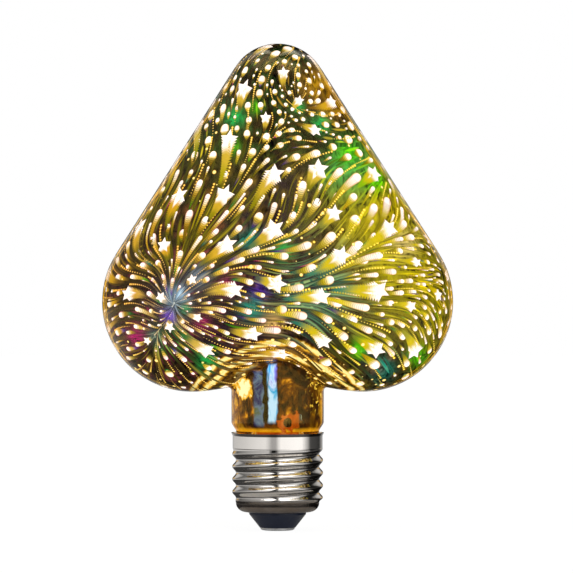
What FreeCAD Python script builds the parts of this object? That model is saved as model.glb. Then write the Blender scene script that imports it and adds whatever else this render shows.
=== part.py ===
import FreeCAD, Part
import Sketcher
import math
import os

V = FreeCAD.Vector

# Firework effect led bulb: a heart shaped glass envelope, point up, on an E27 screw cap.
# The frame stands on the centre contact: +Z up, -Y is the front, millimetres.

DIMENSIONS = {
    # heart shaped glass envelope, heights from the contact face
    "heart_width": 101.0,
    "heart_depth": 58.0,
    "heart_top": 140.0,
    "lobe_radius": 25.9,
    "lobe_height": 65.7,
    "front_radius": 22.0,
    "front_height": 69.6,
    "crown_radius": 14.5,
    "glass_wall": 0.9,
    # neck, and its seal inside the rim of the cap
    "neck_radius": 13.3,
    "neck_fillet": 1.6,
    "neck_rise": 3.0,
    "seal_gap": 0.75,
    "seal_length": 3.6,
    "seal_depth": 3.45,
    "cement_inset": 0.4,
    "cement_drop": 0.55,
    # rolled screw shell, stacked up from its foot
    "sheet_wall": 0.3,
    "shell_foot": 5.3,
    "lip_width": 1.0,
    "shoulder_round": 2.7,
    "shoulder_rise": 2.6,
    "root_radius": 12.0,
    "thread_depth": 1.1,
    "thread_pitch": 3.629,
    "thread_length": 15.8,
    "thread_run_out": 1.6,
    "collar_radius": 12.95,
    "collar_length": 3.5,
    "rim_flare": 0.4,
    "rim_rise": 0.85,
    # insulator and centre contact
    "fit_gap": 0.12,
    "insulator_land": 0.25,
    "insulator_cone": 3.85,
    "insulator_flange": 2.88,
    "insulator_slack": 0.9,
    "insulator_bevel": 1.2,
    "insulator_bevel_rise": 0.96,
    "contact_radius": 4.9,
    "contact_flat": 4.1,
    "contact_edge": 0.35,
    "contact_height": 0.75,
    "contact_shank": 1.7,
    "contact_shank_length": 1.85,
    # mount stem, which stands on the seal
    "stem_radius": 7.4,
    "stem_wall": 0.9,
    "stem_lip": 1.17,
    "stem_flare": 4.4,
    "stem_length": 15.0,
    "stem_dome": 3.0,
    "pinch_width": 13.0,
    "pinch_thickness": 4.2,
    "pinch_shoulder": 8.0,
    "pinch_length": 5.0,
    "exhaust_radius": 1.7,
    "exhaust_bore": 0.9,
    "exhaust_tip": 1.53,
    "exhaust_clearance": 2.08,
    "sleeve_wall": 0.6,
    "sleeve_slack": 0.3,
    "sleeve_clearance": 0.68,
    "sleeve_length": 14.6,
    "sleeve_hole": 1.3,
    "sleeve_hole_drop": 3.4,
    "sleeve_hole_turn": 27.0,
    # filament cage, which stands on the pinch
    "cage_radius": 8.0,
    "cage_lift": 5.0,
    "cage_height": 41.0,
    "post_radius": 1.3,
    "button_radius": 2.6,
    "button_height": 3.2,
    "button_round": 2.0,
    "hook_radius": 0.28,
    "hook_gap": 0.78,
    "filament_radius": 1.05,
    "filament_tip": 0.735,
    "filament_nose": 0.525,
    "tab_length": 3.0,
    "tab_width": 1.3,
    "tab_thickness": 0.4,
    "weld_gap": 0.05,
    "wire_radius": 0.35,
    "lead_offset": 3.4,
    "lead_crank": 5.0,
    # driver in the cap, which stands on the insulator
    "board_width": 17.0,
    "board_thickness": 1.0,
    "board_height": 10.6,
    "solder_gap": 0.1,
    "capacitor_radius": 3.15,
    "capacitor_height": 8.6,
    "capacitor_bead": 0.378,
    "capacitor_offset": 4.4,
    "rectifier_width": 4.8,
    "rectifier_depth": 2.4,
    "rectifier_height": 4.1,
    "rectifier_offset": 3.9,
    "chip_width": 5.0,
    "chip_depth": 1.6,
    "chip_height": 4.0,
    "chip_offset": 3.4,
    "fuse_radius": 1.35,
    "fuse_waist": 1.15,
    "fuse_end": 1.63,
    "fuse_taper": 0.32,
    "fuse_length": 6.5,
    "fuse_offset": 3.9,
    "resistor_width": 1.7,
    "resistor_depth": 0.6,
    "resistor_height": 0.9,
    "resistor_pitch": 1.9,
    "resistor_offset": 3.9,
    "resistor_inset": 1.8,
    "shell_wire_lift": 7.42,
}

# How many of each repeated piece
FILAMENTS = 4
RESISTORS = 4

# Points round each ring of the two blown and rolled skins, and rows of rings up them
ENVELOPE_AROUND = 24
SEAL_ROWS = 5
FILLET_ROWS = 4
BODY_ROWS = 26
THREAD_AROUND = 20
THREAD_ROWS_PER_PITCH = 8
SHOULDER_ROWS = 6
# Where the thread's crest crosses the +X side, as a share of the pitch
CREST_SHARE = 0.54
# A ring smaller than this is a point, and faces closer than the second length are sewn
POINT_SIZE = 1e-6
SEWING_GAP = 1e-4

doc = FreeCAD.newDocument("HeartBulb")
sheet = doc.addObject("Spreadsheet::Sheet", "Sizes")
for row, (alias, number) in enumerate(DIMENSIONS.items(), start=1):
    sheet.set(f"A{row}", alias)
    sheet.set(f"B{row}", str(number))
    sheet.setAlias(f"B{row}", alias)
doc.recompute()


class Size:
    """A length or angle: its number now, and the expression that keeps it tied to the sheet."""

    def __init__(self, number, text):
        self.number = number
        self.text = text

    def __add__(self, other):
        other = as_size(other)
        return Size(self.number + other.number, f"({self.text} + {other.text})")

    def __sub__(self, other):
        other = as_size(other)
        return Size(self.number - other.number, f"({self.text} - {other.text})")

    def __mul__(self, other):
        other = as_size(other)
        return Size(self.number * other.number, f"({self.text} * {other.text})")

    def __truediv__(self, other):
        other = as_size(other)
        return Size(self.number / other.number, f"({self.text} / {other.text})")

    def __neg__(self):
        return Size(-self.number, f"(-1 * {self.text})")


def as_size(item):
    return item if isinstance(item, Size) else Size(float(item), repr(float(item)))


def named(alias):
    return Size(float(sheet.get(alias)), f"Sizes.{alias}")


AXIS = as_size(0)
pieces = []


# Heights and radii that several pieces share


def thread_low():
    return named("shell_foot") + named("shoulder_rise")


def thread_high():
    return thread_low() + named("thread_length")


def collar_top():
    return thread_high() + named("collar_length")


def rim_top():
    return collar_top() + named("rim_rise")


def seal_bottom():
    return rim_top() - named("seal_depth")


def seal_radius():
    return named("collar_radius") - named("sheet_wall") - named("seal_gap")


def lip_radius():
    return named("root_radius") - named("shoulder_round") - named("lip_width")


def insulator_top():
    return named("shell_foot") + named("sheet_wall") + named("fit_gap") + named("insulator_flange")


def board_low():
    return insulator_top() + named("fit_gap")


def board_top():
    return board_low() + named("board_height")


def shank_top():
    return named("contact_height") + named("contact_shank_length")


def flare_top():
    return seal_bottom() + named("stem_flare")


def stem_top():
    return flare_top() + named("stem_length")


def pinch_top():
    return stem_top() + named("pinch_shoulder") + named("pinch_length")


def cage_foot():
    return pinch_top() + named("cage_lift")


def cage_head():
    return cage_foot() + named("cage_height")


# Sketch and body helpers


def bind(item, prop, size):
    item.setExpression(prop, as_size(size).text)


def new_body(label):
    body = doc.addObject("PartDesign::Body", label)
    body.Label = label
    pieces.append(body)
    return body


def new_sketch(body, role, name, offset=None):
    sketch = body.newObject("Sketcher::SketchObject", name)
    plane = next(f for f in body.Origin.OriginFeatures if f.Role == role)
    sketch.AttachmentSupport = [(plane, "")]
    sketch.MapMode = "FlatFace"
    if offset is not None:
        bind(sketch, "AttachmentOffset.Base.z", offset)
    return sketch


def arc_centre(start, end, bend):
    """Centre of the arc from start to end; a positive bend turns to the left."""
    middle = (start + end) / 2
    chord = end - start
    left = V(-chord.y, chord.x, 0).normalize()
    reach = math.sqrt(max(bend * bend - chord.Length**2 / 4, 0.0))
    return middle + left * math.copysign(reach, bend)


def pin_point(sketch, geo, spot, across, up):
    """Ties one sketch point to its two sizes, or to an axis where a size is nought."""
    for size, kind, axis in ((across, "DistanceX", -2), (up, "DistanceY", -1)):
        if size is AXIS:
            sketch.addConstraint(Sketcher.Constraint("PointOnObject", geo, spot, axis))
        else:
            row = sketch.addConstraint(Sketcher.Constraint(kind, -1, 1, geo, spot, size.number))
            bind(sketch, f"Constraints[{row}]", size)


def draw_outline(sketch, corners, closed=True):
    """Lines and arcs through corners (across, up) or (across, up, bend of the arc that ends there)."""
    spots = [V(corner[0].number, corner[1].number, 0) for corner in corners]
    count = len(corners)
    legs = []
    for i in range(count if closed else count - 1):
        start = spots[i]
        end = spots[(i + 1) % count]
        corner = corners[(i + 1) % count]
        if len(corner) == 2:
            legs.append((sketch.addGeometry(Part.LineSegment(start, end)), 1, 2))
            continue
        bend = corner[2]
        centre = arc_centre(start, end, bend.number)
        first, last = (start, end) if bend.number > 0 else (end, start)
        circle = Part.Circle(centre, V(0, 0, 1), abs(bend.number))
        turn = (circle.parameter(first), circle.parameter(last))
        geo = sketch.addGeometry(Part.ArcOfCircle(circle, *turn))
        legs.append((geo, 1, 2) if bend.number > 0 else (geo, 2, 1))
        radius = -bend if bend.number < 0 else bend
        row = sketch.addConstraint(Sketcher.Constraint("Radius", geo, radius.number))
        bind(sketch, f"Constraints[{row}]", radius)
    for i, (geo, start, _) in enumerate(legs):
        if i > 0 or closed:
            before, _, end = legs[i - 1]
            sketch.addConstraint(Sketcher.Constraint("Coincident", before, end, geo, start))
        pin_point(sketch, geo, start, corners[i][0], corners[i][1])
    if not closed:
        geo, _, end = legs[-1]
        pin_point(sketch, geo, end, corners[-1][0], corners[-1][1])


def tangent_bend(shift, run):
    """Radius of an arc that starts along its run and has moved sideways by shift at its end."""
    return (shift * shift + run * run) / (shift * 2)


def draw_circle(sketch, across, up, radius):
    geo = sketch.addGeometry(Part.Circle(V(across.number, up.number, 0), V(0, 0, 1), radius.number))
    row = sketch.addConstraint(Sketcher.Constraint("Radius", geo, radius.number))
    bind(sketch, f"Constraints[{row}]", radius)
    pin_point(sketch, geo, 3, across, up)


def draw_box(sketch, left, right, low, high):
    draw_outline(sketch, [(left, low), (right, low), (right, high), (left, high)])


def revolved(label, corners):
    """A turned body: an outline of (radius, height) corners swung round the Z axis."""
    body = new_body(label)
    sketch = new_sketch(body, "XZ_Plane", f"{label}_outline")
    draw_outline(sketch, corners)
    turn = body.newObject("PartDesign::Revolution", f"{label}_turn")
    turn.Profile = sketch
    turn.ReferenceAxis = (sketch, ["V_Axis"])
    turn.Angle = 360
    return body


def block(label, width, depth, height, centre_x, near_y, low_z):
    """A small moulded block with its near face at near_y, growing towards -Y."""
    body = new_body(label)
    sketch = new_sketch(body, "XZ_Plane", f"{label}_outline", -near_y)
    draw_box(sketch, centre_x - width / 2, centre_x + width / 2, low_z, low_z + height)
    pad = body.newObject("PartDesign::Pad", f"{label}_pad")
    pad.Profile = sketch
    bind(pad, "Length", depth)
    return body


def piped(label, corners, start_height, radius):
    """A wire of round section that starts upright at start_height and follows corners in XZ."""
    body = new_body(label)
    path = new_sketch(body, "XZ_Plane", f"{label}_path")
    draw_outline(path, corners, closed=False)
    section = new_sketch(body, "XY_Plane", f"{label}_section", start_height)
    draw_circle(section, corners[0][0], AXIS, radius)
    pipe = body.newObject("PartDesign::AdditivePipe", f"{label}_pipe")
    pipe.Profile = section
    pipe.Spine = path
    return body


def draw_ellipse(sketch, half_width, half_depth):
    """Ellipse about the origin with its long axis across; both half axes stay tied to the sheet."""
    centre = V(0, 0, 0)
    ellipse = Part.Ellipse(centre, half_width.number, half_depth.number)
    geo = sketch.addGeometry(ellipse)
    sketch.exposeInternalGeometry(geo)
    long_axis = geo + 1
    short_axis = geo + 2
    sketch.addConstraint(Sketcher.Constraint("Coincident", geo, 3, -1, 1))
    sketch.addConstraint(Sketcher.Constraint("Horizontal", long_axis))
    for axis, half in ((long_axis, half_width), (short_axis, half_depth)):
        row = sketch.addConstraint(Sketcher.Constraint("Distance", axis, half.number * 2))
        bind(sketch, f"Constraints[{row}]", half * 2)


def placed(piece, across, deep, up):
    for axis, size in (("x", across), ("y", deep), ("z", up)):
        bind(piece, f"Placement.Base.{axis}", size)


def turned(piece, axis, angle):
    piece.Placement = FreeCAD.Placement(V(0, 0, 0), FreeCAD.Rotation(axis, angle.number))
    bind(piece, "Placement.Rotation.Angle", angle)


def group(label, members):
    """Loose like pieces that share one node."""
    whole = doc.addObject("Part::Compound", label)
    whole.Label = label
    whole.Links = members
    pieces.append(whole)


# Smooth skins made of closed rings of points


def ring_curve(points):
    """Periodic curve through one ring, with the same knots for every ring."""
    count = len(points)
    curve = Part.BSplineCurve()
    shares = [i / count for i in range(count + 1)]
    curve.interpolate(Points=points, PeriodicFlag=True, Parameters=shares)
    return curve


def ring_poles(ring, count):
    """Poles of one ring; a ring shrunk to a point, as at the crown, is that point again and again."""
    if ring[0].distanceToPoint(ring[1]) < POINT_SIZE:
        return [ring[0]] * count
    return ring_curve(ring).getPoles()


def skin(rings):
    """Face through a stack of rings; neighbouring skins that share a ring share its edge."""
    around = ring_curve(rings[0])
    poles = [ring_poles(ring, around.NbPoles) for ring in rings]
    shares = [i / (len(rings) - 1) for i in range(len(rings))]
    columns = []
    for k in range(len(poles[0])):
        column = Part.BSplineCurve()
        column.interpolate(Points=[row[k] for row in poles], Parameters=shares)
        columns.append(column)
    grid = [list(row) for row in zip(*[column.getPoles() for column in columns])]
    surface = Part.BSplineSurface()
    surface.buildFromPolesMultsKnots(
        grid,
        columns[0].getMultiplicities(),
        around.getMultiplicities(),
        columns[0].getKnots(),
        around.getKnots(),
        False,
        True,
        columns[0].Degree,
        around.Degree,
    )
    return surface.toShape()


def closed_solid(faces):
    shell = Part.makeShell(faces)
    shell.sewShape(SEWING_GAP)
    solid = Part.makeSolid(shell if shell.ShapeType == "Shell" else shell.Shells[0])
    return solid.reversed() if solid.Volume < 0 else solid


def round_ring(radius, height, count):
    turns = [2 * math.pi * k / count for k in range(count)]
    return [V(radius * math.cos(a), radius * math.sin(a), height) for a in turns]


def smooth_step(low, high, at):
    share = min(max((at - low) / (high - low), 0.0), 1.0)
    return share * share * (3 - 2 * share)


# Glass envelope: at each angle round the axis the wall is a lobe arc, a straight flank and a crown arc


class Meridian:
    """Section of one skin of the envelope at one angle, inset from the outside by the wall."""

    def __init__(self, angle, inset):
        side = math.cos(angle) ** 2
        half_width = named("heart_width").number / 2
        half_depth = named("heart_depth").number / 2
        reach = 1 / math.hypot(math.cos(angle) / half_width, math.sin(angle) / half_depth)
        radius = self.mixed("front_radius", "lobe_radius", side)
        self.angle = angle
        self.centre = reach - radius
        self.height = self.mixed("front_height", "lobe_height", side)
        self.radius = radius - inset
        self.crown = named("crown_radius").number - inset
        self.crown_height = named("heart_top").number - named("crown_radius").number
        self.neck = named("neck_radius").number - inset
        self.fillet = named("neck_fillet").number + inset
        self.lean = self.flank_lean()
        self.fillet_centre = self.neck + self.fillet
        across = self.centre - self.fillet_centre
        drop = math.sqrt((self.radius + self.fillet) ** 2 - across**2)
        self.fillet_height = self.height - drop
        self.fillet_end = math.atan2(drop, across)

    def mixed(self, front, side, share):
        return named(front).number * (1 - share) + named(side).number * share

    def flank_lean(self):
        """Direction, seen from either arc's centre, of the points where the flank is tangent."""
        rise = self.crown_height - self.height
        between = math.hypot(self.centre, rise)
        return math.atan2(rise, -self.centre) - math.acos((self.radius - self.crown) / between)

    def point(self, across, height):
        return V(across * math.cos(self.angle), across * math.sin(self.angle), height)

    def on_fillet(self, share):
        turn = math.pi + (self.fillet_end - math.pi) * share
        across = self.fillet_centre + self.fillet * math.cos(turn)
        return self.point(across, self.fillet_height + self.fillet * math.sin(turn))

    def on_body(self, share):
        """Point at this share of the way from the fillet round the lobe and up to the crown."""
        first = self.fillet_end - math.pi
        rise = self.crown_height - self.height
        lobe = self.radius * (self.lean - first)
        flank = math.sqrt(self.centre**2 + rise**2 - (self.radius - self.crown) ** 2)
        crown = self.crown * (math.pi / 2 - self.lean)
        along = share * (lobe + flank + crown)
        if along <= lobe:
            turn = first + along / self.radius
            return self.point(
                self.centre + self.radius * math.cos(turn),
                self.height + self.radius * math.sin(turn),
            )
        if along <= lobe + flank:
            on_lobe = self.point(
                self.centre + self.radius * math.cos(self.lean),
                self.height + self.radius * math.sin(self.lean),
            )
            on_crown = self.point(
                self.crown * math.cos(self.lean),
                self.crown_height + self.crown * math.sin(self.lean),
            )
            return on_lobe + (on_crown - on_lobe) * ((along - lobe) / flank)
        turn = self.lean + (along - lobe - flank) / self.crown
        across = self.crown * math.cos(turn) if share < 1 else 0.0
        return self.point(across, self.crown_height + self.crown * math.sin(turn))


def envelope_skin(inset):
    """Faces of one skin from the cap seal to the crown, and its lowest ring."""
    turns = [2 * math.pi * k / ENVELOPE_AROUND for k in range(ENVELOPE_AROUND)]
    sections = [Meridian(turn, inset) for turn in turns]
    seal = seal_radius().number - inset
    neck = named("neck_radius").number - inset
    low = seal_bottom().number
    knee = low + named("seal_length").number
    end = knee + named("neck_rise").number
    seal_rings = []
    for i in range(SEAL_ROWS + 1):
        height = knee + (end - knee) * i / SEAL_ROWS
        radius = seal + (neck - seal) * smooth_step(knee, end, height)
        seal_rings.append(round_ring(radius, height, ENVELOPE_AROUND))
    foot_ring = round_ring(seal, low, ENVELOPE_AROUND)
    fillet_rings = [[s.on_fillet(i / FILLET_ROWS) for s in sections] for i in range(FILLET_ROWS + 1)]
    body_rings = [[s.on_body(i / BODY_ROWS) for s in sections] for i in range(1, BODY_ROWS + 1)]
    faces = [
        skin([foot_ring, seal_rings[0]]),
        skin(seal_rings),
        skin([seal_rings[-1], fillet_rings[0]]),
        skin(fillet_rings),
        skin([fillet_rings[-1]] + body_rings),
    ]
    return faces, foot_ring


def make_glass_envelope():
    outer, outer_foot = envelope_skin(0.0)
    inner, inner_foot = envelope_skin(named("glass_wall").number)
    envelope = doc.addObject("Part::Feature", "glass_envelope")
    envelope.Shape = closed_solid(outer + inner + [skin([outer_foot, inner_foot])])
    pieces.append(envelope)


# Screw shell: one sheet, spun to a collar and a shoulder, with the thread rolled into it


def thread_radius(angle, height, inset):
    """Radius of the rolled sheet; a right hand thread climbs with the angle."""
    root = named("root_radius").number
    low = thread_low().number
    high = thread_high().number
    run_out = named("thread_run_out").number
    phase = height / named("thread_pitch").number - angle / (2 * math.pi) - CREST_SHARE
    wave = (1 + math.cos(2 * math.pi * phase)) / 2
    depth = named("thread_depth").number * wave * smooth_step(low, low + run_out, height)
    to_collar = (named("collar_radius").number - root - depth) * smooth_step(high - run_out, high, height)
    return root + depth + to_collar - inset


def thread_rings(inset):
    low = thread_low().number
    length = named("thread_length").number
    rows = math.ceil(length / named("thread_pitch").number * THREAD_ROWS_PER_PITCH)
    turns = [2 * math.pi * k / THREAD_AROUND for k in range(THREAD_AROUND)]
    rings = []
    for i in range(rows + 1):
        height = low + length * i / rows
        radii = [thread_radius(turn, height, inset) for turn in turns]
        rings.append([V(r * math.cos(a), r * math.sin(a), height) for r, a in zip(radii, turns)])
    return rings


def shoulder_rings(inset):
    """Rings from the thread down round the shoulder to the flat foot of the shell."""
    top = thread_low().number
    drop = named("shoulder_rise").number - inset
    root = named("root_radius").number
    knee = root - named("shoulder_round").number
    rings = []
    for i in range(1, SHOULDER_ROWS + 1):
        turn = math.pi / 2 * i / SHOULDER_ROWS
        radius = knee + (root - inset - knee) * math.cos(turn)
        rings.append(round_ring(radius, top - drop * math.sin(turn), THREAD_AROUND))
    return rings


def shell_skin(inset):
    """Faces of one skin of the sheet from the lip at its foot to the rim, and those two end rings."""
    collar = named("collar_radius").number - inset
    flare = named("rim_flare").number
    thread = thread_rings(inset)
    shoulder = shoulder_rings(inset)
    lip = round_ring(lip_radius().number, named("shell_foot").number + inset, THREAD_AROUND)
    collar_ring = round_ring(collar, collar_top().number, THREAD_AROUND)
    rim = round_ring(collar + flare, rim_top().number, THREAD_AROUND)
    faces = [
        skin(thread),
        skin([thread[0]] + shoulder),
        skin([shoulder[-1], lip]),
        skin([thread[-1], collar_ring]),
        skin([collar_ring, rim]),
    ]
    return faces, lip, rim


def make_cap_shell():
    outer, outer_lip, outer_rim = shell_skin(0.0)
    inner, inner_lip, inner_rim = shell_skin(named("sheet_wall").number)
    edges = [skin([outer_lip, inner_lip]), skin([outer_rim, inner_rim])]
    cap = doc.addObject("Part::Feature", "cap_shell")
    cap.Shape = closed_solid(outer + inner + edges)
    pieces.append(cap)


# Cap insulator, centre contact and cement


def make_centre_contact():
    shank = named("contact_shank")
    edge = named("contact_edge")
    radius = named("contact_radius")
    flat = named("contact_flat")
    height = named("contact_height")
    revolved(
        "centre_contact",
        [
            (AXIS, AXIS),
            (flat, AXIS),
            (radius, edge, tangent_bend(edge, radius - flat)),
            (radius, height),
            (shank, height),
            (shank, shank_top()),
            (AXIS, shank_top()),
        ],
    )


def make_cap_insulator():
    gap = named("fit_gap")
    hole = named("contact_shank") + gap
    wire_hole = named("wire_radius") + gap * 2
    foot = named("contact_height")
    outer = lip_radius() - gap
    floor = named("shell_foot") + named("sheet_wall") + gap
    seat = named("root_radius") - named("sheet_wall") - named("insulator_slack")
    hole_top = shank_top() + gap
    revolved(
        "cap_insulator",
        [
            (hole, foot),
            (named("contact_radius") + named("insulator_land"), foot),
            (outer, foot + named("insulator_cone")),
            (outer, floor),
            (seat - named("insulator_bevel"), floor),
            (seat, floor + named("insulator_bevel_rise")),
            (seat, insulator_top()),
            (wire_hole, insulator_top()),
            (wire_hole, hole_top),
            (hole, hole_top),
        ],
    )


def make_cap_cement():
    gap = named("fit_gap")
    inside = seal_radius() + gap
    outside = named("collar_radius") - named("sheet_wall") - gap
    low = seal_bottom() - named("cement_inset")
    top = rim_top() - named("cement_drop")
    revolved("cap_cement", [(inside, low), (outside, low), (outside, top), (inside, top)])


# Glass mount: flare, tube and pinch, with the exhaust tube and the sleeve inside it


def make_glass_stem():
    wall = named("stem_wall")
    radius = named("stem_radius")
    bore = radius - wall
    low = seal_bottom()
    flare = flare_top()
    top = stem_top()
    shoulder_top = top + named("pinch_shoulder")
    rim = seal_radius() - named("glass_wall") - named("fit_gap")
    inner_rim = rim - named("stem_lip")
    rise = named("stem_flare")
    body = revolved(
        "glass_stem",
        [
            (inner_rim, low, tangent_bend(inner_rim - bore, rise)),
            (rim, low),
            (radius, flare, -tangent_bend(rim - radius, rise)),
            (radius, top),
            (bore, top),
            (bore, flare),
        ],
    )
    round_section = new_sketch(body, "XY_Plane", "stem_round", top)
    draw_circle(round_section, AXIS, AXIS, radius)
    flat_section = new_sketch(body, "XY_Plane", "stem_flat", shoulder_top)
    draw_ellipse(flat_section, named("pinch_width") / 2, named("pinch_thickness") / 2)
    shoulder = body.newObject("PartDesign::AdditiveLoft", "stem_shoulder")
    shoulder.Profile = round_section
    shoulder.Sections = [flat_section]
    press_section = new_sketch(body, "XY_Plane", "stem_press_section", shoulder_top)
    draw_ellipse(press_section, named("pinch_width") / 2, named("pinch_thickness") / 2)
    press = body.newObject("PartDesign::Pad", "stem_press")
    press.Profile = press_section
    bind(press, "Length", named("pinch_length"))
    dome = new_sketch(body, "XZ_Plane", "stem_dome_outline")
    cavity_floor = top - named("fit_gap")
    cavity_top = top + named("stem_dome")
    draw_outline(dome, [(AXIS, cavity_floor), (bore, cavity_floor), (bore, top), (AXIS, cavity_top)])
    cavity = body.newObject("PartDesign::Groove", "stem_cavity")
    cavity.Profile = dome
    cavity.ReferenceAxis = (dome, ["V_Axis"])
    cavity.Angle = 360
    holes = new_sketch(body, "XY_Plane", "stem_wire_holes", pinch_top())
    for side in (1, -1):
        draw_circle(holes, named("lead_offset") * side, AXIS, named("wire_radius") + named("weld_gap"))
    drill = body.newObject("PartDesign::Pocket", "stem_wire_bores")
    drill.Profile = holes
    bind(drill, "Length", pinch_top() - top)


def make_exhaust_tube():
    radius = named("exhaust_radius")
    bore = named("exhaust_bore")
    low = board_top() + named("exhaust_clearance")
    tip = named("exhaust_tip")
    bore_tip = tip * bore / radius
    wall = radius - bore
    top = stem_top() + named("stem_dome") / 2
    revolved(
        "exhaust_tube",
        [
            (AXIS, low),
            (radius, low + tip, tangent_bend(tip, radius)),
            (radius, top),
            (bore, top),
            (bore, low + bore_tip + wall),
            (AXIS, low + wall, -tangent_bend(bore_tip, bore)),
        ],
    )


def make_lead_sleeve():
    outside = named("stem_radius") - named("stem_wall") - named("sleeve_slack")
    inside = outside - named("sleeve_wall")
    low = board_top() + named("sleeve_clearance")
    top = low + named("sleeve_length")
    body = revolved("lead_sleeve", [(inside, low), (outside, low), (outside, top), (inside, top)])
    window = new_sketch(body, "XZ_Plane", "sleeve_window")
    draw_circle(window, AXIS, top - named("sleeve_hole_drop"), named("sleeve_hole"))
    cut = body.newObject("PartDesign::Pocket", "sleeve_hole")
    cut.Profile = window
    cut.Reversed = True
    bind(cut, "Length", outside)
    turned(body, V(0, 0, 1), named("sleeve_hole_turn"))


# Filament cage on the support post


def make_support_post():
    radius = named("post_radius")
    button = named("button_radius")
    bend = named("button_round")
    low = pinch_top()
    middle = cage_head() - named("tab_length") / 2
    under = middle - named("button_height") / 2
    over = middle + named("button_height") / 2
    revolved(
        "support_post",
        [
            (AXIS, low),
            (radius, low),
            (radius, under),
            (button, middle, bend),
            (radius, over, bend),
            (AXIS, over),
        ],
    )


def cage_spot(turn):
    """Where one filament stands, as a pair of sizes, and its direction as plain numbers."""
    across = math.cos(turn)
    deep = math.sin(turn)
    return named("cage_radius") * across, named("cage_radius") * deep, across, deep


def cage_turns():
    return [math.pi / 4 + 2 * math.pi * i / FILAMENTS for i in range(FILAMENTS)]


def make_led_filaments():
    radius = named("filament_radius")
    tip = named("filament_tip")
    nose = named("filament_nose")
    low = cage_foot() + named("tab_length") + named("weld_gap")
    high = cage_head() - named("tab_length") - named("weld_gap")
    bend = tangent_bend(radius - tip, nose)
    for i, turn in enumerate(cage_turns(), start=1):
        across, deep, _, _ = cage_spot(turn)
        body = revolved(
            f"led_filament_{i}",
            [
                (AXIS, low),
                (tip, low),
                (radius, low + nose, bend),
                (radius, high - nose),
                (tip, high, bend),
                (AXIS, high),
            ],
        )
        placed(body, across, deep, AXIS)


def make_filament_tabs():
    width = named("tab_width")
    thickness = named("tab_thickness")
    length = named("tab_length")
    tabs = []
    for turn in cage_turns():
        across, deep, _, _ = cage_spot(turn)
        for low in (cage_foot(), cage_head() - length):
            tab = doc.addObject("Part::Box", "tab")
            bind(tab, "Length", thickness)
            bind(tab, "Width", width)
            bind(tab, "Height", length)
            placed(tab, across - thickness / 2, deep - width / 2, low)
            tabs.append(tab)
    group("filament_tabs", tabs)


def make_upper_hooks():
    hooks = []
    for turn in cage_turns():
        _, _, across, deep = cage_spot(turn)
        start = named("button_radius") + named("weld_gap")
        end = named("cage_radius") - named("hook_gap")
        hook = doc.addObject("Part::Cylinder", "hook")
        bind(hook, "Radius", named("hook_radius"))
        bind(hook, "Height", end - start)
        level = cage_head() - named("tab_length") / 2
        placed(hook, start * across, start * deep, level)
        hook.Placement.Rotation = FreeCAD.Rotation(V(0, 0, 1), V(across, deep, 0))
        hooks.append(hook)
    group("upper_hooks", hooks)


def make_lead_wires():
    """Each lead rises from the board, cranks out to its bar and feeds the feet of two filaments."""
    wire = named("wire_radius")
    gap = named("weld_gap")
    spot = named("cage_radius") * math.cos(math.pi / FILAMENTS)
    bar_offset = spot - named("tab_thickness") / 2 - wire - gap
    low = board_top() + gap
    bar_level = cage_foot() + wire * 2
    crank_low = bar_level - named("lead_crank")
    half = (bar_offset - named("lead_offset")) / 2
    bend = tangent_bend(half, named("lead_crank") / 2)
    for label, side in (("lead_wire_live", 1), ("lead_wire_neutral", -1)):
        start = named("lead_offset") * side
        body = piped(
            label,
            [
                (start, low),
                (start, crank_low),
                (start + half * side, crank_low + named("lead_crank") / 2, bend * -side),
                (start + half * 2 * side, bar_level, bend * side),
            ],
            low,
            wire,
        )
        bar = new_sketch(body, "XZ_Plane", f"{label}_bar_section")
        draw_circle(bar, bar_offset * side, bar_level, wire)
        pad = body.newObject("PartDesign::Pad", f"{label}_bar")
        pad.Profile = bar
        pad.Midplane = True
        bind(pad, "Length", spot * 2 + named("tab_width"))


# Driver in the cap


def make_driver_board():
    half = named("board_thickness") / 2
    block(
        "driver_board",
        named("board_width"),
        named("board_thickness"),
        named("board_height"),
        AXIS,
        half,
        board_low(),
    )


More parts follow.
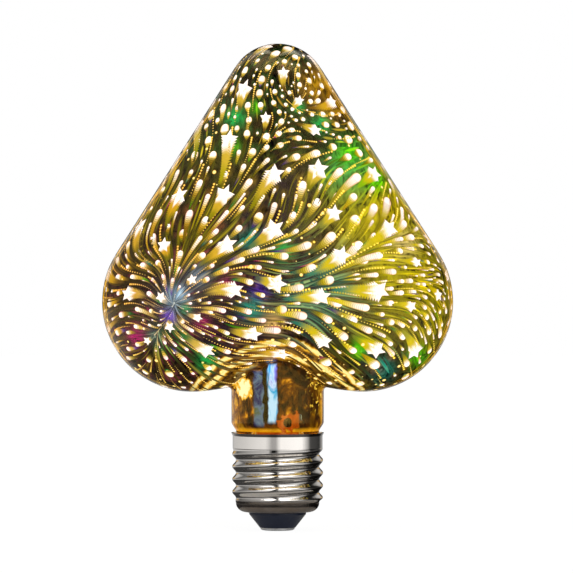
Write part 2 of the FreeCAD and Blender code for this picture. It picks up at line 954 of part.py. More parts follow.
def make_board_parts():
    gap = named("solder_gap")
    half = named("board_thickness") / 2
    middle = board_low() + named("board_height") / 2
    block(
        "bridge_rectifier",
        named("rectifier_width"),
        named("rectifier_depth"),
        named("rectifier_height"),
        named("rectifier_offset"),
        -half - gap,
        middle - named("rectifier_height") / 2,
    )
    block(
        "driver_chip",
        named("chip_width"),
        named("chip_depth"),
        named("chip_height"),
        -named("chip_offset"),
        half + gap + named("chip_depth"),
        middle - named("chip_height") / 2,
    )
    radius = named("capacitor_radius")
    height = named("capacitor_height")
    bead = named("capacitor_bead")
    can = revolved(
        "filter_capacitor",
        [
            (AXIS, AXIS),
            (radius - bead, AXIS),
            (radius, bead, bead),
            (radius, bead * 3),
            (radius - bead, bead * 4),
            (radius, bead * 5),
            (radius, height - bead),
            (radius - bead, height, bead),
            (AXIS, height),
        ],
    )
    placed(can, -named("capacitor_offset"), -half - gap - radius, middle - height / 2)
    barrel = named("fuse_radius")
    waist = named("fuse_waist")
    end = named("fuse_end")
    taper_end = end + named("fuse_taper")
    length = named("fuse_length")
    fuse = revolved(
        "fuse_resistor",
        [
            (AXIS, AXIS),
            (barrel, AXIS),
            (barrel, end),
            (waist, taper_end),
            (waist, length - taper_end),
            (barrel, length - end),
            (barrel, length),
            (AXIS, length),
        ],
    )
    turned(fuse, V(0, 1, 0), as_size(90))
    placed(fuse, named("fuse_offset") - length / 2, half + gap + barrel, middle)
    chips = []
    for i in range(RESISTORS):
        chip = doc.addObject("Part::Box", "resistor")
        bind(chip, "Length", named("resistor_width"))
        bind(chip, "Width", named("resistor_depth"))
        bind(chip, "Height", named("resistor_height"))
        across = named("resistor_offset") + named("resistor_pitch") * (i - RESISTORS / 2)
        level = board_top() - named("resistor_inset")
        placed(chip, across, half + gap, level)
        chips.append(chip)
    group("chip_resistors", chips)


def make_cap_wires():
    gap = named("weld_gap")
    low = shank_top() + gap
    feed = doc.addObject("Part::Cylinder", "contact_wire")
    feed.Label = "contact_wire"
    bind(feed, "Radius", named("wire_radius"))
    bind(feed, "Height", board_low() - gap - low)
    placed(feed, AXIS, AXIS, low)
    pieces.append(feed)
    start = named("board_width") / 2 + gap
    end = named("root_radius") - named("sheet_wall") - named("fit_gap")
    tail = doc.addObject("Part::Cylinder", "shell_wire")
    tail.Label = "shell_wire"
    bind(tail, "Radius", named("wire_radius"))
    bind(tail, "Height", end - start)
    placed(tail, start, AXIS, board_low() + named("shell_wire_lift"))
    tail.Placement.Rotation = FreeCAD.Rotation(V(0, 0, 1), V(1, 0, 0))
    pieces.append(tail)


make_glass_envelope()
make_cap_shell()
make_cap_insulator()
make_centre_contact()
make_cap_cement()
make_glass_stem()
make_exhaust_tube()
make_lead_sleeve()
make_support_post()
make_led_filaments()
make_filament_tabs()
make_upper_hooks()
make_lead_wires()
make_driver_board()
make_board_parts()
make_cap_wires()
doc.recompute()

for item in doc.Objects:
    if "Invalid" in item.State or "Error" in item.State:
        raise RuntimeError(f"{item.Label} did not build: {item.State}")
for piece in pieces:
    if piece.Shape.isNull() or not piece.Shape.isValid():
        raise RuntimeError(f"{piece.Label} has no valid shape")

os.makedirs("parts", exist_ok=True)
for piece in pieces:
    piece.Shape.exportStep(f"parts/{piece.Label}.step")
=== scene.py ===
import math

import bpy
import numpy as np
from bpy.props import FloatProperty, FloatVectorProperty, IntProperty, PointerProperty
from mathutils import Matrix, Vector, kdtree


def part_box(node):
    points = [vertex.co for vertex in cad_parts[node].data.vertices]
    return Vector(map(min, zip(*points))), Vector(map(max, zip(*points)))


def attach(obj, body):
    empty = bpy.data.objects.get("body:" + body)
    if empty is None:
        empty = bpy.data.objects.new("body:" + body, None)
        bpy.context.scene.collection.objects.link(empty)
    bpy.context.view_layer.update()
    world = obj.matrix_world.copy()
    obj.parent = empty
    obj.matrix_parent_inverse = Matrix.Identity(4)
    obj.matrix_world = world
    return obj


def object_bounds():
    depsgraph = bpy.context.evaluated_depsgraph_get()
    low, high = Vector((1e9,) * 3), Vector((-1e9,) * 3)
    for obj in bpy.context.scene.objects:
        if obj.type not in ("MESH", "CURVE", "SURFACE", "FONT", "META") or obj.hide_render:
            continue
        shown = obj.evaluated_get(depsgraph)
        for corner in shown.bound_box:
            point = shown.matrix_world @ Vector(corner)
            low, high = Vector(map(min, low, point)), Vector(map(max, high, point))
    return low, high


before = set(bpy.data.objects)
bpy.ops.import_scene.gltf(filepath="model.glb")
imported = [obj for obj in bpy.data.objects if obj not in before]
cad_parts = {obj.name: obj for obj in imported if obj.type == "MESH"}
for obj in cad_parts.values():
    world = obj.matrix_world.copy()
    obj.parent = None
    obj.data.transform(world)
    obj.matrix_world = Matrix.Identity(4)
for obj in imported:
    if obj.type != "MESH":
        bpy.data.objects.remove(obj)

bl_info = {
    "name": "Firework effect led bulb",
    "version": (1, 0, 0),
    "blender": (4, 5, 0),
    "location": "3D View > Sidebar > Lamp",
    "description": "Dresses the heart shaped lamp: coated glass, streaks of light, nickel cap and driver",
    "category": "Object",
}

CAD_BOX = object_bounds()
MM = 0.001
BODY = "root"
GLASS_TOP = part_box("glass_envelope")[1]
CAP_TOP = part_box("cap_shell")[1]

# What the first operators leave for the later ones: the pattern, the comets and the stars
MADE = {}

# Colours of the light, as linear red, green and blue
PALETTE = {
    "white": (1.5, 1.36, 1.34),
    "pink": (1.5, 1.3, 1.28),
    "cream": (1.05, 0.82, 0.24),
    "gold": (1.0, 0.52, 0.0),
    "yellow": (1.0, 0.78, 0.0),
    "olive": (0.3, 0.26, 0.0),
    "leaf": (0.1, 0.66, 0.0),
    "emerald": (0.0, 0.55, 0.1),
    "teal": (0.0, 0.3, 0.22),
    "peach": (1.0, 0.62, 0.2),
    "lime": (0.66, 0.56, 0.0),
    "butter": (1.0, 0.68, 0.05),
    "violet": (0.13, 0.03, 0.5),
    "magenta": (0.8, 0.0, 0.26),
    "sky": (0.4, 0.66, 0.95),
    "slate": (0.1, 0.14, 0.2),
    "bronze": (0.16, 0.075, 0.008),
    "umber": (0.03, 0.017, 0.003),
    "moss": (0.05, 0.055, 0.008),
    "plum": (0.022, 0.007, 0.028),
    "amber": (0.5, 0.2, 0.005),
}
BLACK = (0.0, 0.0, 0.0)

# Colours that some tails end in, the share of such tails and how far they go to that colour
ACCENTS = ("emerald", "teal", "leaf", "violet", "violet", "magenta", "gold")
ACCENT_OFTEN, ACCENT_DEPTH = 0.35, 0.75

# Points that the streaks run away from: place in mm, strength, swirl, and reach of their haze in mm; round
# the two hubs with a large reach the haze is a pale blue painted reflection of a softbox
HUBS = (
    ((-29.5, -25.0, 65.5), 1.0, -0.1, 4.2),
    ((-36.2, -21.0, 55.3), 0.5, 0.15, 3.2),
    ((5.9, -16.0, 123.0), 0.12, 0.0, 0.5),
    ((44.0, -12.0, 70.0), 0.015, 0.3, 0.5),
    ((27.0, 25.0, 67.0), 1.0, 0.1, 4.2),
    ((-8.0, 16.0, 119.0), 0.2, 0.25, 0.5),
    ((-42.0, 12.0, 76.0), 0.02, -0.3, 0.5),
)

# Beyond these widths in mm the streaks fan out, up above this height and down below it
FAN_START, FAN_END = -8.0, 30.0
FAN_HEIGHT, FAN_REACH = 72.0, 15.0
FAN_SHARE = 1.15
FAN_LOW, FAN_HIGH = 94.0, 112.0

# Slow waves that turn the flow: cycles along x, y and z in radians per mm, and a phase
WAVES = ((0.11, 0.05, 0.09, 0.3), (-0.06, 0.12, 0.16, 1.9), (0.23, -0.1, -0.19, 4.0))
WAVER = 0.2

# Fields of colour: a place in mm, reach in mm, then the streaks' middle, their tail end and the ground
FIELDS = (
    ((0, -12, 134), 11, "butter", "bronze", "umber"),
    ((16, -10, 127), 7, "gold", "amber", "bronze"),
    ((-8, -17, 118), 7, "butter", "bronze", "umber"),
    ((8, -17, 113), 8, "butter", "bronze", "umber"),
    ((23, -18, 104), 7, "yellow", "leaf", "emerald"),
    ((-26, -21, 90), 12, "gold", "olive", "umber"),
    ((-16, -22, 100), 9, "butter", "lime", "moss"),
    ((-2, -27, 88), 13, "butter", "olive", "plum"),
    ((12, -27, 70), 12, "yellow", "teal", "plum"),
    ((34, -20, 88), 14, "yellow", "yellow", "lime"),
    ((42, -14, 70), 14, "yellow", "lime", "olive"),
    ((48, -4, 72), 9, "gold", "gold", "olive"),
    ((24, -24, 52), 9, "yellow", "olive", "umber"),
    ((34, -20, 44), 8, "yellow", "teal", "umber"),
    ((-31, -25, 64), 9, "peach", "plum", "plum"),
    ((-36, -20, 44), 10, "butter", "bronze", "umber"),
    ((-31, -22, 53), 5, "butter", "emerald", "umber"),
    ((-10, -28, 60), 10, "butter", "plum", "plum"),
    ((-47, -8, 68), 10, "gold", "bronze", "umber"),
    ((0, -17, 44), 8, "gold", "amber", "bronze"),
    ((0, 12, 134), 13, "butter", "bronze", "umber"),
    ((18, 18, 112), 11, "yellow", "leaf", "emerald"),
    ((-22, 20, 98), 14, "yellow", "leaf", "umber"),
    ((4, 27, 86), 14, "butter", "olive", "plum"),
    ((-34, 21, 74), 14, "yellow", "olive", "olive"),
    ((30, 24, 68), 12, "peach", "plum", "plum"),
    ((-20, 25, 50), 12, "yellow", "teal", "umber"),
    ((32, 22, 48), 12, "butter", "emerald", "umber"),
    ((0, 28, 62), 11, "butter", "teal", "plum"),
    ((0, 17, 44), 8, "gold", "amber", "bronze"),
)

# Soft patches of light on the front and the back: width, height and reach in mm, a colour and its share; the
# sky patches at the main hubs are painted reflections of a softbox
FRONT_PATCHES = (
    (-28.0, 67.5, 2.4, "sky", 1.5),
    (-30.5, 62.0, 1.7, "violet", 2.0),
    (-26.0, 64.0, 1.4, "emerald", 1.0),
    (-7.0, 64.0, 3.0, "teal", 1.3),
    (-1.0, 60.0, 2.6, "peach", 1.0),
    (-5.0, 69.0, 2.4, "violet", 0.8),
    (-14.0, 70.0, 2.2, "magenta", 0.6),
    (-21.0, 60.0, 2.0, "magenta", 0.5),
    (-40.0, 56.0, 2.2, "magenta", 0.8),
    (-22.0, 73.0, 3.0, "slate", 1.6),
    (-8.0, 84.0, 3.0, "teal", 1.0),
    (2.0, 80.0, 2.6, "emerald", 0.9),
    (23.0, 52.5, 2.2, "leaf", 1.5),
    (30.0, 47.0, 3.0, "teal", 1.2),
    (40.0, 50.0, 3.0, "leaf", 1.0),
    (-20.0, 49.0, 2.6, "emerald", 1.0),
    (11.0, 128.0, 3.6, "gold", 0.7),
    (15.0, 121.0, 3.0, "gold", 0.5),
    (-12.0, 118.0, 2.6, "emerald", 1.4),
    (-6.0, 121.0, 1.8, "leaf", 1.1),
    (6.0, 121.0, 1.5, "emerald", 1.2),
    (12.0, 116.0, 2.4, "emerald", 1.4),
    (-13.0, 110.0, 2.2, "leaf", 1.2),
    (20.0, 108.0, 3.2, "leaf", 1.3),
    (28.0, 100.0, 3.4, "leaf", 1.4),
    (30.0, 92.0, 4.0, "yellow", 0.8),
    (36.0, 82.0, 3.6, "cream", 0.8),
    (41.0, 72.0, 3.4, "yellow", 0.9),
    (30.0, 72.0, 3.4, "lime", 0.9),
)
BACK_PATCHES = (
    (26.0, 67.0, 2.4, "sky", 1.4),
    (-20.0, 96.0, 4.4, "leaf", 1.0),
    (-34.0, 80.0, 4.4, "yellow", 0.8),
    (4.0, 64.0, 3.0, "teal", 1.2),
)

# Places where the streaks are larger or smaller: place and reach in mm, and the change
SIZE_SPOTS = (((28.0, -22.0, 88.0), 14.0, 0.35), ((-12.0, -28.0, 58.0), 12.0, -0.35))

# Heights in mm between which the top and the foot of the heart turn to dots
DOTTED_TOP, DOTTED_FOOT = (104, 114), (43, 51)

# How many candidates each kind of streak starts from
COMET_TRIES, STAR_TRIES, STROKE_TRIES, CHAIN_TRIES, SPARK_TRIES = 30000, 4000, 9000, 4000, 2600

# Kinds of comet, from large to small: how often, and factors on the gap, the width and the length
COMET_OFTEN = (0.14, 0.4, 0.46)
COMET_GAPS = np.array([1.65, 1.15, 0.78])
COMET_WIDTHS = np.array([1.0, 0.66, 0.36])
COMET_LENGTHS = np.array([1.0, 0.9, 0.75])

# Spread of the comets' widths and lengths; how many are longer still, and by which factor
WIDTH_SPREAD, LENGTH_SPREAD = (0.85, 1.2), (0.35, 1.0)
LONG_OFTEN, LONG_FACTOR = 0.15, 1.7

# Reach in mm round a hub in which tails fade sooner, heads blush, and the haze turns magenta
SHORT_REACH, BLUSH_REACH, HAZE_REACH = 24, 30, 24

# A comet's steps, in radii over its head and in shares of the rest along its tail, and places across it
HEAD_STEPS = np.array([0.05, 0.2, 0.5, 1.0, 1.6])
HEAD_FULL = 3
TAIL_STEPS = np.array([0.12, 0.22, 0.33, 0.45, 0.58, 0.72, 0.86, 1.0])
COMET_ACROSS = np.array([-1.0, -0.62, 0.0, 0.62, 1.0])

# Fine ribs across the comets' tails, in mm, their depth of shade and how far they bow
RIB_GAP, RIB_DEPTH, RIB_BOW = 0.62, 0.42, 0.45

# Stars: lowest place and room round each in mm, outlines in a stack, corners, and radius between
# the points; spread of their radius, and of their length in radii
STAR_LOWEST, STAR_ROOM = 51, 5.5
STAR_COPIES, STAR_CORNERS, STAR_WAIST = 20, 10, 0.46
STAR_SPREAD, STAR_LENGTH = (0.8, 1.15), (2.5, 6.0)

# Faint strokes, in mm: gap, shortest and longest, narrowest and widest; their steps and places across
STROKE_GAP, STROKE_LENGTH, STROKE_HALF = 2.5, (8, 22), (0.12, 0.6)
STROKE_STEPS, STROKE_ACROSS = 11, np.array([-1.0, 0.0, 1.0])

# Chains of dots, in mm: gap between chains and from dot to dot, first and last radius; then the count
CHAIN_GAP, CHAIN_STEP, CHAIN_RADIUS = 5.5, (0.6, 0.95), (0.34, 0.12)
CHAIN_DOTS, DOT_CORNERS = 12, 8

# Single sparks, in mm: gap, room round a star, and heights outside which they are common, how
# ragged these limits are, radii before their power, and the share of sparks between the limits
SPARK_GAP, SPARK_STAR_ROOM, SPARK_LOW, SPARK_HIGH = 2.6, 6.5, 50, 116
SPARK_RAGGED, SPARK_RADIUS, SPARK_POWER, SPARK_ELSEWHERE = 8, (0.22, 0.75), 1.3, 0.2

# Shares of the room between the film and the topmost streak that each kind of streak lies in
STROKE_LEVELS, COMET_LEVELS, CHAIN_LEVELS = (0.05, 0.28), (0.3, 0.64), (0.45, 0.65)
STAR_LEVELS, STAR_STACK, SPARK_LEVELS = (0.66, 0.82), 0.15, (0.82, 0.98)

# Broken golden lines of painted rim light along the mould seam of both flanks: y in mm and share of gold;
# width and ends
PAINTED_RIM_LINES = (
    (-6.8, 0.8), (-5.6, 1.1), (-4.8, 1.5), (-4.1, 1.5), (-3.4, 1.3),
    (2.6, 1.3), (3.3, 1.5), (4.0, 1.5), (4.8, 1.1), (6.0, 0.8),
)
PAINTED_RIM_WIDTH, PAINTED_RIM_FROM, PAINTED_RIM_TO = 0.44, 0.1, 0.9
PAINTED_RIM_STEPS, PAINTED_RIM_ACROSS, PAINTED_RIM_BREAKS = 260, 3, 40

# Painted shade along the mould seam's plane, which darkens the flanks' edges: share of the light that is
# left at the seam, and the distances in mm between which it fades in
PAINTED_EDGE_SHADE, PAINTED_EDGE_SHADE_FADE = 0.35, (1.0, 3.6)

# Film: points round it, rows of its front and its back, its thickness in mm and where it ends at the crown
FILM_AROUND, FILM_ROWS, FILM_BACK_ROWS = 300, 250, 36
FILM_THICKNESS, FILM_END = 0.18, 0.999

# Painted golden glow along the fold over the neck, in mm: its height on the axis, its fall with width, and
# where it fades
FOLD_TOP, FOLD_BEND = 52.5, 0.0225
FOLD_HALF, FOLD_WIDTH = (2.4, 4.6), (22.0, 27.0)
FOLD_GLOW_TONES = (
    (0.3, (0.03, 0.014, 0.002)),
    (0.48, (0.3, 0.12, 0.004)),
    (0.64, (0.95, 0.5, 0.02)),
    (0.78, (1.2, 1.0, 0.4)),
)

# Neck film: points round it, rows, rows in its fillet; in mm its start over the cap, and how far it
# is drawn in at its foot and over what height
NECK_AROUND, NECK_ROWS, NECK_BEND_ROWS = 240, 60, 7
NECK_START, NECK_SQUEEZE, NECK_SQUEEZE_HEIGHT = 0.55, 0.75, 2.6

# Gap worn in the neck film in front of the sleeve: turn and half width, height, half height and slope
WORN_TURN, WORN_HALF = -1.27, 0.3
WORN_HEIGHT, WORN_HIGH, WORN_SLOPE = 31.6, 2.5, 2.6

# Tones of the amber film, by noise, and the turns round the axis of its pale stripes, which are painted
# reflections of a softbox
REFLECTION_STRIPES = (-1.683, 0.41, 2.5)
AMBER_TONES = (
    (0.46, (0.008, 0.004, 0.002)),
    (0.58, (0.045, 0.018, 0.004)),
    (0.68, (0.15, 0.05, 0.004)),
    (0.78, (0.7, 0.32, 0.01)),
    (0.86, (1.0, 0.85, 0.35)),
)
# Tones of the painted golden rim light at the neck's sides
AMBER_RIM_LIGHT_TONES = ((0.38, (0.06, 0.022, 0.0)), (0.5, (0.35, 0.14, 0.0)), (0.66, (0.95, 0.55, 0.02)))
# Tones of the painted softbox reflections on the neck: the pale blue stripe and the grey one
COOL_REFLECTION_TONES = (
    (0.38, (0.2, 0.2, 0.9)),
    (0.45, (0.6, 0.85, 1.5)),
    (0.52, (0.0, 0.4, 1.0)),
    (0.6, (0.5, 0.85, 1.4)),
)
GREY_REFLECTION_TONES = ((0.4, (0.03, 0.035, 0.14)), (0.55, (0.12, 0.2, 0.36)), (0.66, (0.09, 0.13, 0.08)))
# Colours of the neck film: painted shade on one side, the dark frame line of the painted softbox reflection,
# a painted golden blob of light with a cream middle, painted golden glints, and a golden foot
NECK_SHADE, NECK_REFLECTED_FRAME_LINE = (0.02, 0.008, 0.002), (0.02, 0.013, 0.002)
NECK_GOLD, NECK_CREAM = (0.95, 0.55, 0.04), (1.2, 1.08, 0.75)
NECK_GLINT, NECK_FOOT = (1.1, 0.8, 0.1), (0.9, 0.45, 0.01)

# Heights in mm between which the dull shoulder of the cap turns into bright plate
SHOULDER_END = (8.2, 9.6)

# Distances from the axis in mm between which the painted shade inside the sleeve's hole turns to the
# sleeve's orange
SLEEVE_HOLE_SHADE = (5.9, 6.15)

# Reflected surround in mm, and shares of its brightness: floor near and far, wall, and top with lid
TENT_RADIUS, TENT_HEIGHT, TENT_HOLE, TENT_LIFT = 620, 1100, 20, 1
TENT_GLOW, TENT_FOOT, TENT_FAR, TENT_WALL = 3.4, 0.04, 0.55, 0.19
TENT_FADE, TENT_RISE, TENT_TOP = (45, 170), (10, 50), (700, 850)

# Grey levels of the surround's floor ring at turns in degrees from the camera's side
TENT_FLOOR = (
    (-180, 0.2), (-140, 0.34), (-88, 0.4), (-30, 0.5), (-15, 0.24), (-5, 0.24),
    (8, 0.62), (64, 0.66), (92, 0.04), (134, 0.02), (152, 0.2), (180, 0.2),
)

# The same for its wall and lid, and the golden glow low down at the back
TENT_UPPER = (
    (-180, 0.0), (-164, 0.01), (-157, 0.9), (-146, 0.9), (-132, 0.2), (-88, 0.56),
    (-24, 0.9), (-15, 0.01), (-5, 0.01), (6, 1.0), (60, 0.9), (90, 0.02),
    (128, 0.02), (146, 0.9), (157, 0.9), (164, 0.01), (180, 0.0),
)
TENT_GOLD, TENT_GOLD_TURN, TENT_GOLD_HIGH = (1.0, 0.6, 0.12), (0.36, 0.41), (80, 200)

# Floor: radius in mm, its own glow and the share of it that the camera sees; light of the surround
FLOOR_RADIUS, FLOOR_GLOW, FLOOR_SEEN = 2500, 1.12, 0.85
SURROUND_LIGHT = 0.35
RING_CORNERS = 96

# Softboxes: name, turn in degrees from the camera's side, distance and size in metres, and their setting
SOFTBOXES = (
    ("right_softbox", 38, 0.75, (0.62, 0.9), "key"),
    ("left_softbox", -62, 0.8, (0.75, 0.9), "fill"),
)
SOFTBOX_HEIGHT = 0.12

# Camera: place and width of the view in metres, and its sensor in mm
CAMERA_SIDE, CAMERA_DISTANCE, CAMERA_HEIGHT = 0.00256, 1.0, 0.0701
VIEW_WIDTH, SENSOR_WIDTH = 0.165, 36


def colour_of(name):
    return np.array(PALETTE[name])


def unit(vectors):
    return vectors / np.maximum(np.linalg.norm(vectors, axis=-1, keepdims=True), 1e-9)


def smooth_step(low, high, at):
    share = np.clip((at - low) / (high - low), 0.0, 1.0)
    return share * share * (3 - 2 * share)


def graded(colour, turns, at):
    """A colour that turns into each following one between two values of at."""
    for low, high, following in turns:
        colour = colour + (following - colour) * smooth_step(low, high, at)
    return colour


# Sizes and colours that a user would change


def length(name, description, default):
    return FloatProperty(name=name, description=description, default=default * MM, unit="LENGTH")


def power(name, description, default):
    return FloatProperty(name=name, description=description, default=default, unit="POWER")


def colour(name, description, default):
    return FloatVectorProperty(name=name, description=description, default=default, subtype="COLOR")


class GlassSettings(bpy.types.PropertyGroup):
    lobe_radius: length("Lobe radius", "Radius of the round side lobes", 25.9)
    lobe_height: length("Lobe height", "Height of the side lobes' centres", 65.7)
    front_radius: length("Front radius", "Radius of the belly at the front and back", 22.0)
    front_height: length("Front height", "Height of the belly's centre", 69.6)
    crown_radius: length("Crown radius", "Radius of the rounded point at the top", 14.5)
    neck_radius: length("Neck radius", "Radius of the glass neck", 13.3)
    neck_fillet: length("Neck fillet", "Fillet from the neck into the body", 1.6)
    film_inset: length("Film inset", "Depth of the coating under the outer face", 0.62)
    top_inset: length("Streak inset", "Depth of the topmost streak", 0.14)
    tint: colour("Neck tint", "Tint of the neck's glass", (0.9, 0.66, 0.32))
    body_tint: colour("Heart tint", "Tint of the heart's glass", (1.0, 0.93, 0.74))
    shine: colour("Shine", "Colour of the reflections in the coated glass", (1.0, 0.78, 0.2))


class StreakSettings(bpy.types.PropertyGroup):
    seed: IntProperty(name="Seed", description="Start of every random draw", default=11)
    glow: FloatProperty(
        name="Glow", description="Strength of the lit streaks", default=1.26, min=0.0, max=4.0
    )
    comet_gap: length("Comet gap", "Least distance between two heads of light", 3.1)
    comet_width: length("Comet width", "Width of a large head of light", 1.9)
    comet_length: length("Comet length", "Length of a long streak", 13.0)
    star_gap: length("Star gap", "Least distance between two stars", 12.5)
    star_radius: length("Star radius", "Radius of a star's points", 2.5)


class CapSettings(bpy.types.PropertyGroup):
    nickel: colour("Nickel", "Colour of the nickel plate", (0.87, 0.83, 0.78))
    bare: colour("Shoulder", "Colour of the dull shoulder", (0.12, 0.08, 0.05))
    insulator: colour("Insulator", "Colour of the insulator", (0.006, 0.01, 0.03))


class StageSettings(bpy.types.PropertyGroup):
    floor: colour("Floor", "Colour of the floor", (0.9, 0.9, 0.9))
    key: power("Key light", "Power of the right softbox", 2.6)
    fill: power("Fill light", "Power of the left softbox", 2.2)


class Settings:
    """A group of settings whose lengths are read in mm and whose colours are tuples."""

    def __init__(self, name):
        self.group = getattr(bpy.context.scene, name)

    def __getattr__(self, name):
        value = getattr(self.group, name)
        kind = self.group.bl_rna.properties[name]
        if kind.unit == "LENGTH":
            return value / MM
        return tuple(value) if kind.subtype == "COLOR" else value


# Shader tools


def both_ways(operation):
    """The two forms of an operator: with the number socket on its left, and on its right."""

    def forward(self, other):
        return self.joined(operation, self, other)

    def reflected(self, other):
        return self.joined(operation, other, self)

    return forward, reflected


class Maths:
    """A number socket of a material that can stand in a Python expression."""

    def __init__(self, finish, socket):
        self.finish = finish
        self.socket = socket

    def joined(self, operation, *others, **options):
        made = self.finish.node(
            "ShaderNodeMath", {"operation": operation, **options}, dict(enumerate(others))
        )
        return Maths(self.finish, made.outputs[0])

    __add__, __radd__ = both_ways("ADD")
    __sub__, __rsub__ = both_ways("SUBTRACT")
    __mul__, __rmul__ = both_ways("MULTIPLY")
    __truediv__, __rtruediv__ = both_ways("DIVIDE")
    __pow__, __rpow__ = both_ways("POWER")

    def __abs__(self):
        return self.joined("ABSOLUTE", self)

    def clamped(self):
        return self.joined("MULTIPLY", self, 1.0, use_clamp=True)

    def step(self, low, high):
        """Nought below low and one above high, rising smoothly between them."""
        inputs = {"Value": self, "From Min": low, "From Max": high}
        made = self.finish.node("ShaderNodeMapRange", {"interpolation_type": "SMOOTHSTEP"}, inputs)
        return Maths(self.finish, made.outputs["Result"])

    def between(self, low, high, soft):
        """One between two values, with soft ends."""
        return self.step(low - soft, low + soft) * (1 - self.step(high - soft, high + soft))

    def band(self, centre, half):
        """One within half a width of the centre."""
        return 1 - abs(self - centre).step(half * 0.75, half * 1.25)


class Tree:
    """A node tree that is built from types, settings and inputs."""

    def __init__(self, owner):
        owner.use_nodes = True
        self.tree = owner.node_tree
        self.tree.nodes.clear()

    def node(self, kind, options=None, inputs=None):
        made = self.tree.nodes.new(kind)
        for name, value in (options or {}).items():
            if name == "stops":
                self.set_stops(made.color_ramp, value)
            else:
                setattr(made, name, value)
        for name, value in (inputs or {}).items():
            self.feed(made.inputs[name], value)
        return made

    def set_stops(self, ramp, stops):
        while len(ramp.elements) < len(stops):
            ramp.elements.new(1.0)
        for element, (at, tone) in zip(ramp.elements, stops):
            element.position = at
            element.color = (*tone, 1.0)

    def feed(self, socket, value):
        if isinstance(value, Maths):
            self.tree.links.new(value.socket, socket)
        elif isinstance(value, bpy.types.NodeSocket):
            self.tree.links.new(value, socket)
        elif socket.type == "RGBA" and len(value) == 3:
            socket.default_value = (*value, 1.0)
        else:
            socket.default_value = value

    def ray(self, *kinds):
        """One for a ray of these kinds, such as Is Camera Ray, and nought for others."""
        path = self.node("ShaderNodeLightPath")
        share = Maths(self, path.outputs[kinds[0]])
        for kind in kinds[1:]:
            share = share.joined("MAXIMUM", share, path.outputs[kind])
        return share

    def ramp(self, value, stops):
        return self.node("ShaderNodeValToRGB", {"stops": stops}, {"Fac": value}).outputs["Color"]


class Finish(Tree):
    """One procedural material round a Principled shader."""

    def __init__(self, name, **constants):
        self.material = bpy.data.materials.new(name)
        super().__init__(self.material)
        self.shader = self.node("ShaderNodeBsdfPrincipled")
        self.output = self.node("ShaderNodeOutputMaterial", inputs={0: self.shader.outputs["BSDF"]})
        self.place = self.node("ShaderNodeTexCoord").outputs["Object"]
        self.give(**constants)

    def give(self, **values):
        """Sets sockets of the Principled shader; base_color stands for Base Color."""
        for name, value in values.items():
            socket = name.replace("_", " ").title().replace("Ior", "IOR")
            self.feed(self.shader.inputs[socket], value)

    def stretched(self, scale):
        made = self.node("ShaderNodeVectorMath", {"operation": "MULTIPLY"}, {0: self.place, 1: scale})
        return made.outputs[0]

    def noise(self, scale, detail=3.0, stretch=(1, 1, 1), distortion=0.0):
        """Noise from nought to one; its scale is in cells per metre."""
        inputs = {
            "Vector": self.stretched(stretch),
            "Scale": scale,
            "Detail": detail,
            "Distortion": distortion,
        }
        return Maths(self, self.node("ShaderNodeTexNoise", inputs=inputs).outputs["Fac"])

    def cell_edges(self, scale):
        """Distance to the nearest edge between cells; the scale is in cells per metre."""
        inputs = {"Vector": self.place, "Scale": scale}
        made = self.node("ShaderNodeTexVoronoi", {"feature": "DISTANCE_TO_EDGE"}, inputs)
        return Maths(self, made.outputs["Distance"])

    def axis(self, name):
        """A coordinate in mm."""
        made = self.node("ShaderNodeSeparateXYZ", inputs={0: self.place})
        return Maths(self, made.outputs[name]) / MM

    def off_axis(self):
        """Distance from the lamp's axis in mm."""
        x, y = self.axis("X"), self.axis("Y")
        return (x * x + y * y) ** 0.5

    def mixed(self, share, first, second, way="MIX"):
        """A colour between two colours, or another mix of them."""
        made = self.node(
            "ShaderNodeMix", {"data_type": "RGBA", "blend_type": way}, {0: share, 6: first, 7: second}
        )
        return made.outputs[2]

    def vertex_colour(self, name):
        return self.node("ShaderNodeVertexColor", {"layer_name": name}).outputs["Color"]

    def bump(self, height, strength, distance):
        inputs = {"Height": height, "Strength": strength, "Distance": distance}
        self.give(normal=self.node("ShaderNodeBump", inputs=inputs).outputs["Normal"])

    def mottled(self, grain, dark, pale, rough=None, bump=None, stops=(0.3, 0.7)):
        """Colours, and where asked for gloss and small bumps, that follow one noise."""
        tone = self.ramp(grain, ((stops[0], dark), (stops[1], pale)))
        self.give(base_color=tone)
        if rough:
            self.give(roughness=(rough[0] + rough[1] * grain).clamped())
        if bump:
            self.bump(grain, *bump)
        return tone

    def wear(self, nodes):
        """Puts this finish on CAD nodes."""
        for name in nodes:
            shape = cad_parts[name].data
            shape.materials.clear()
            shape.materials.append(self.material)
            for polygon in shape.polygons:
                polygon.use_smooth = True


# The heart as a formula, in mm


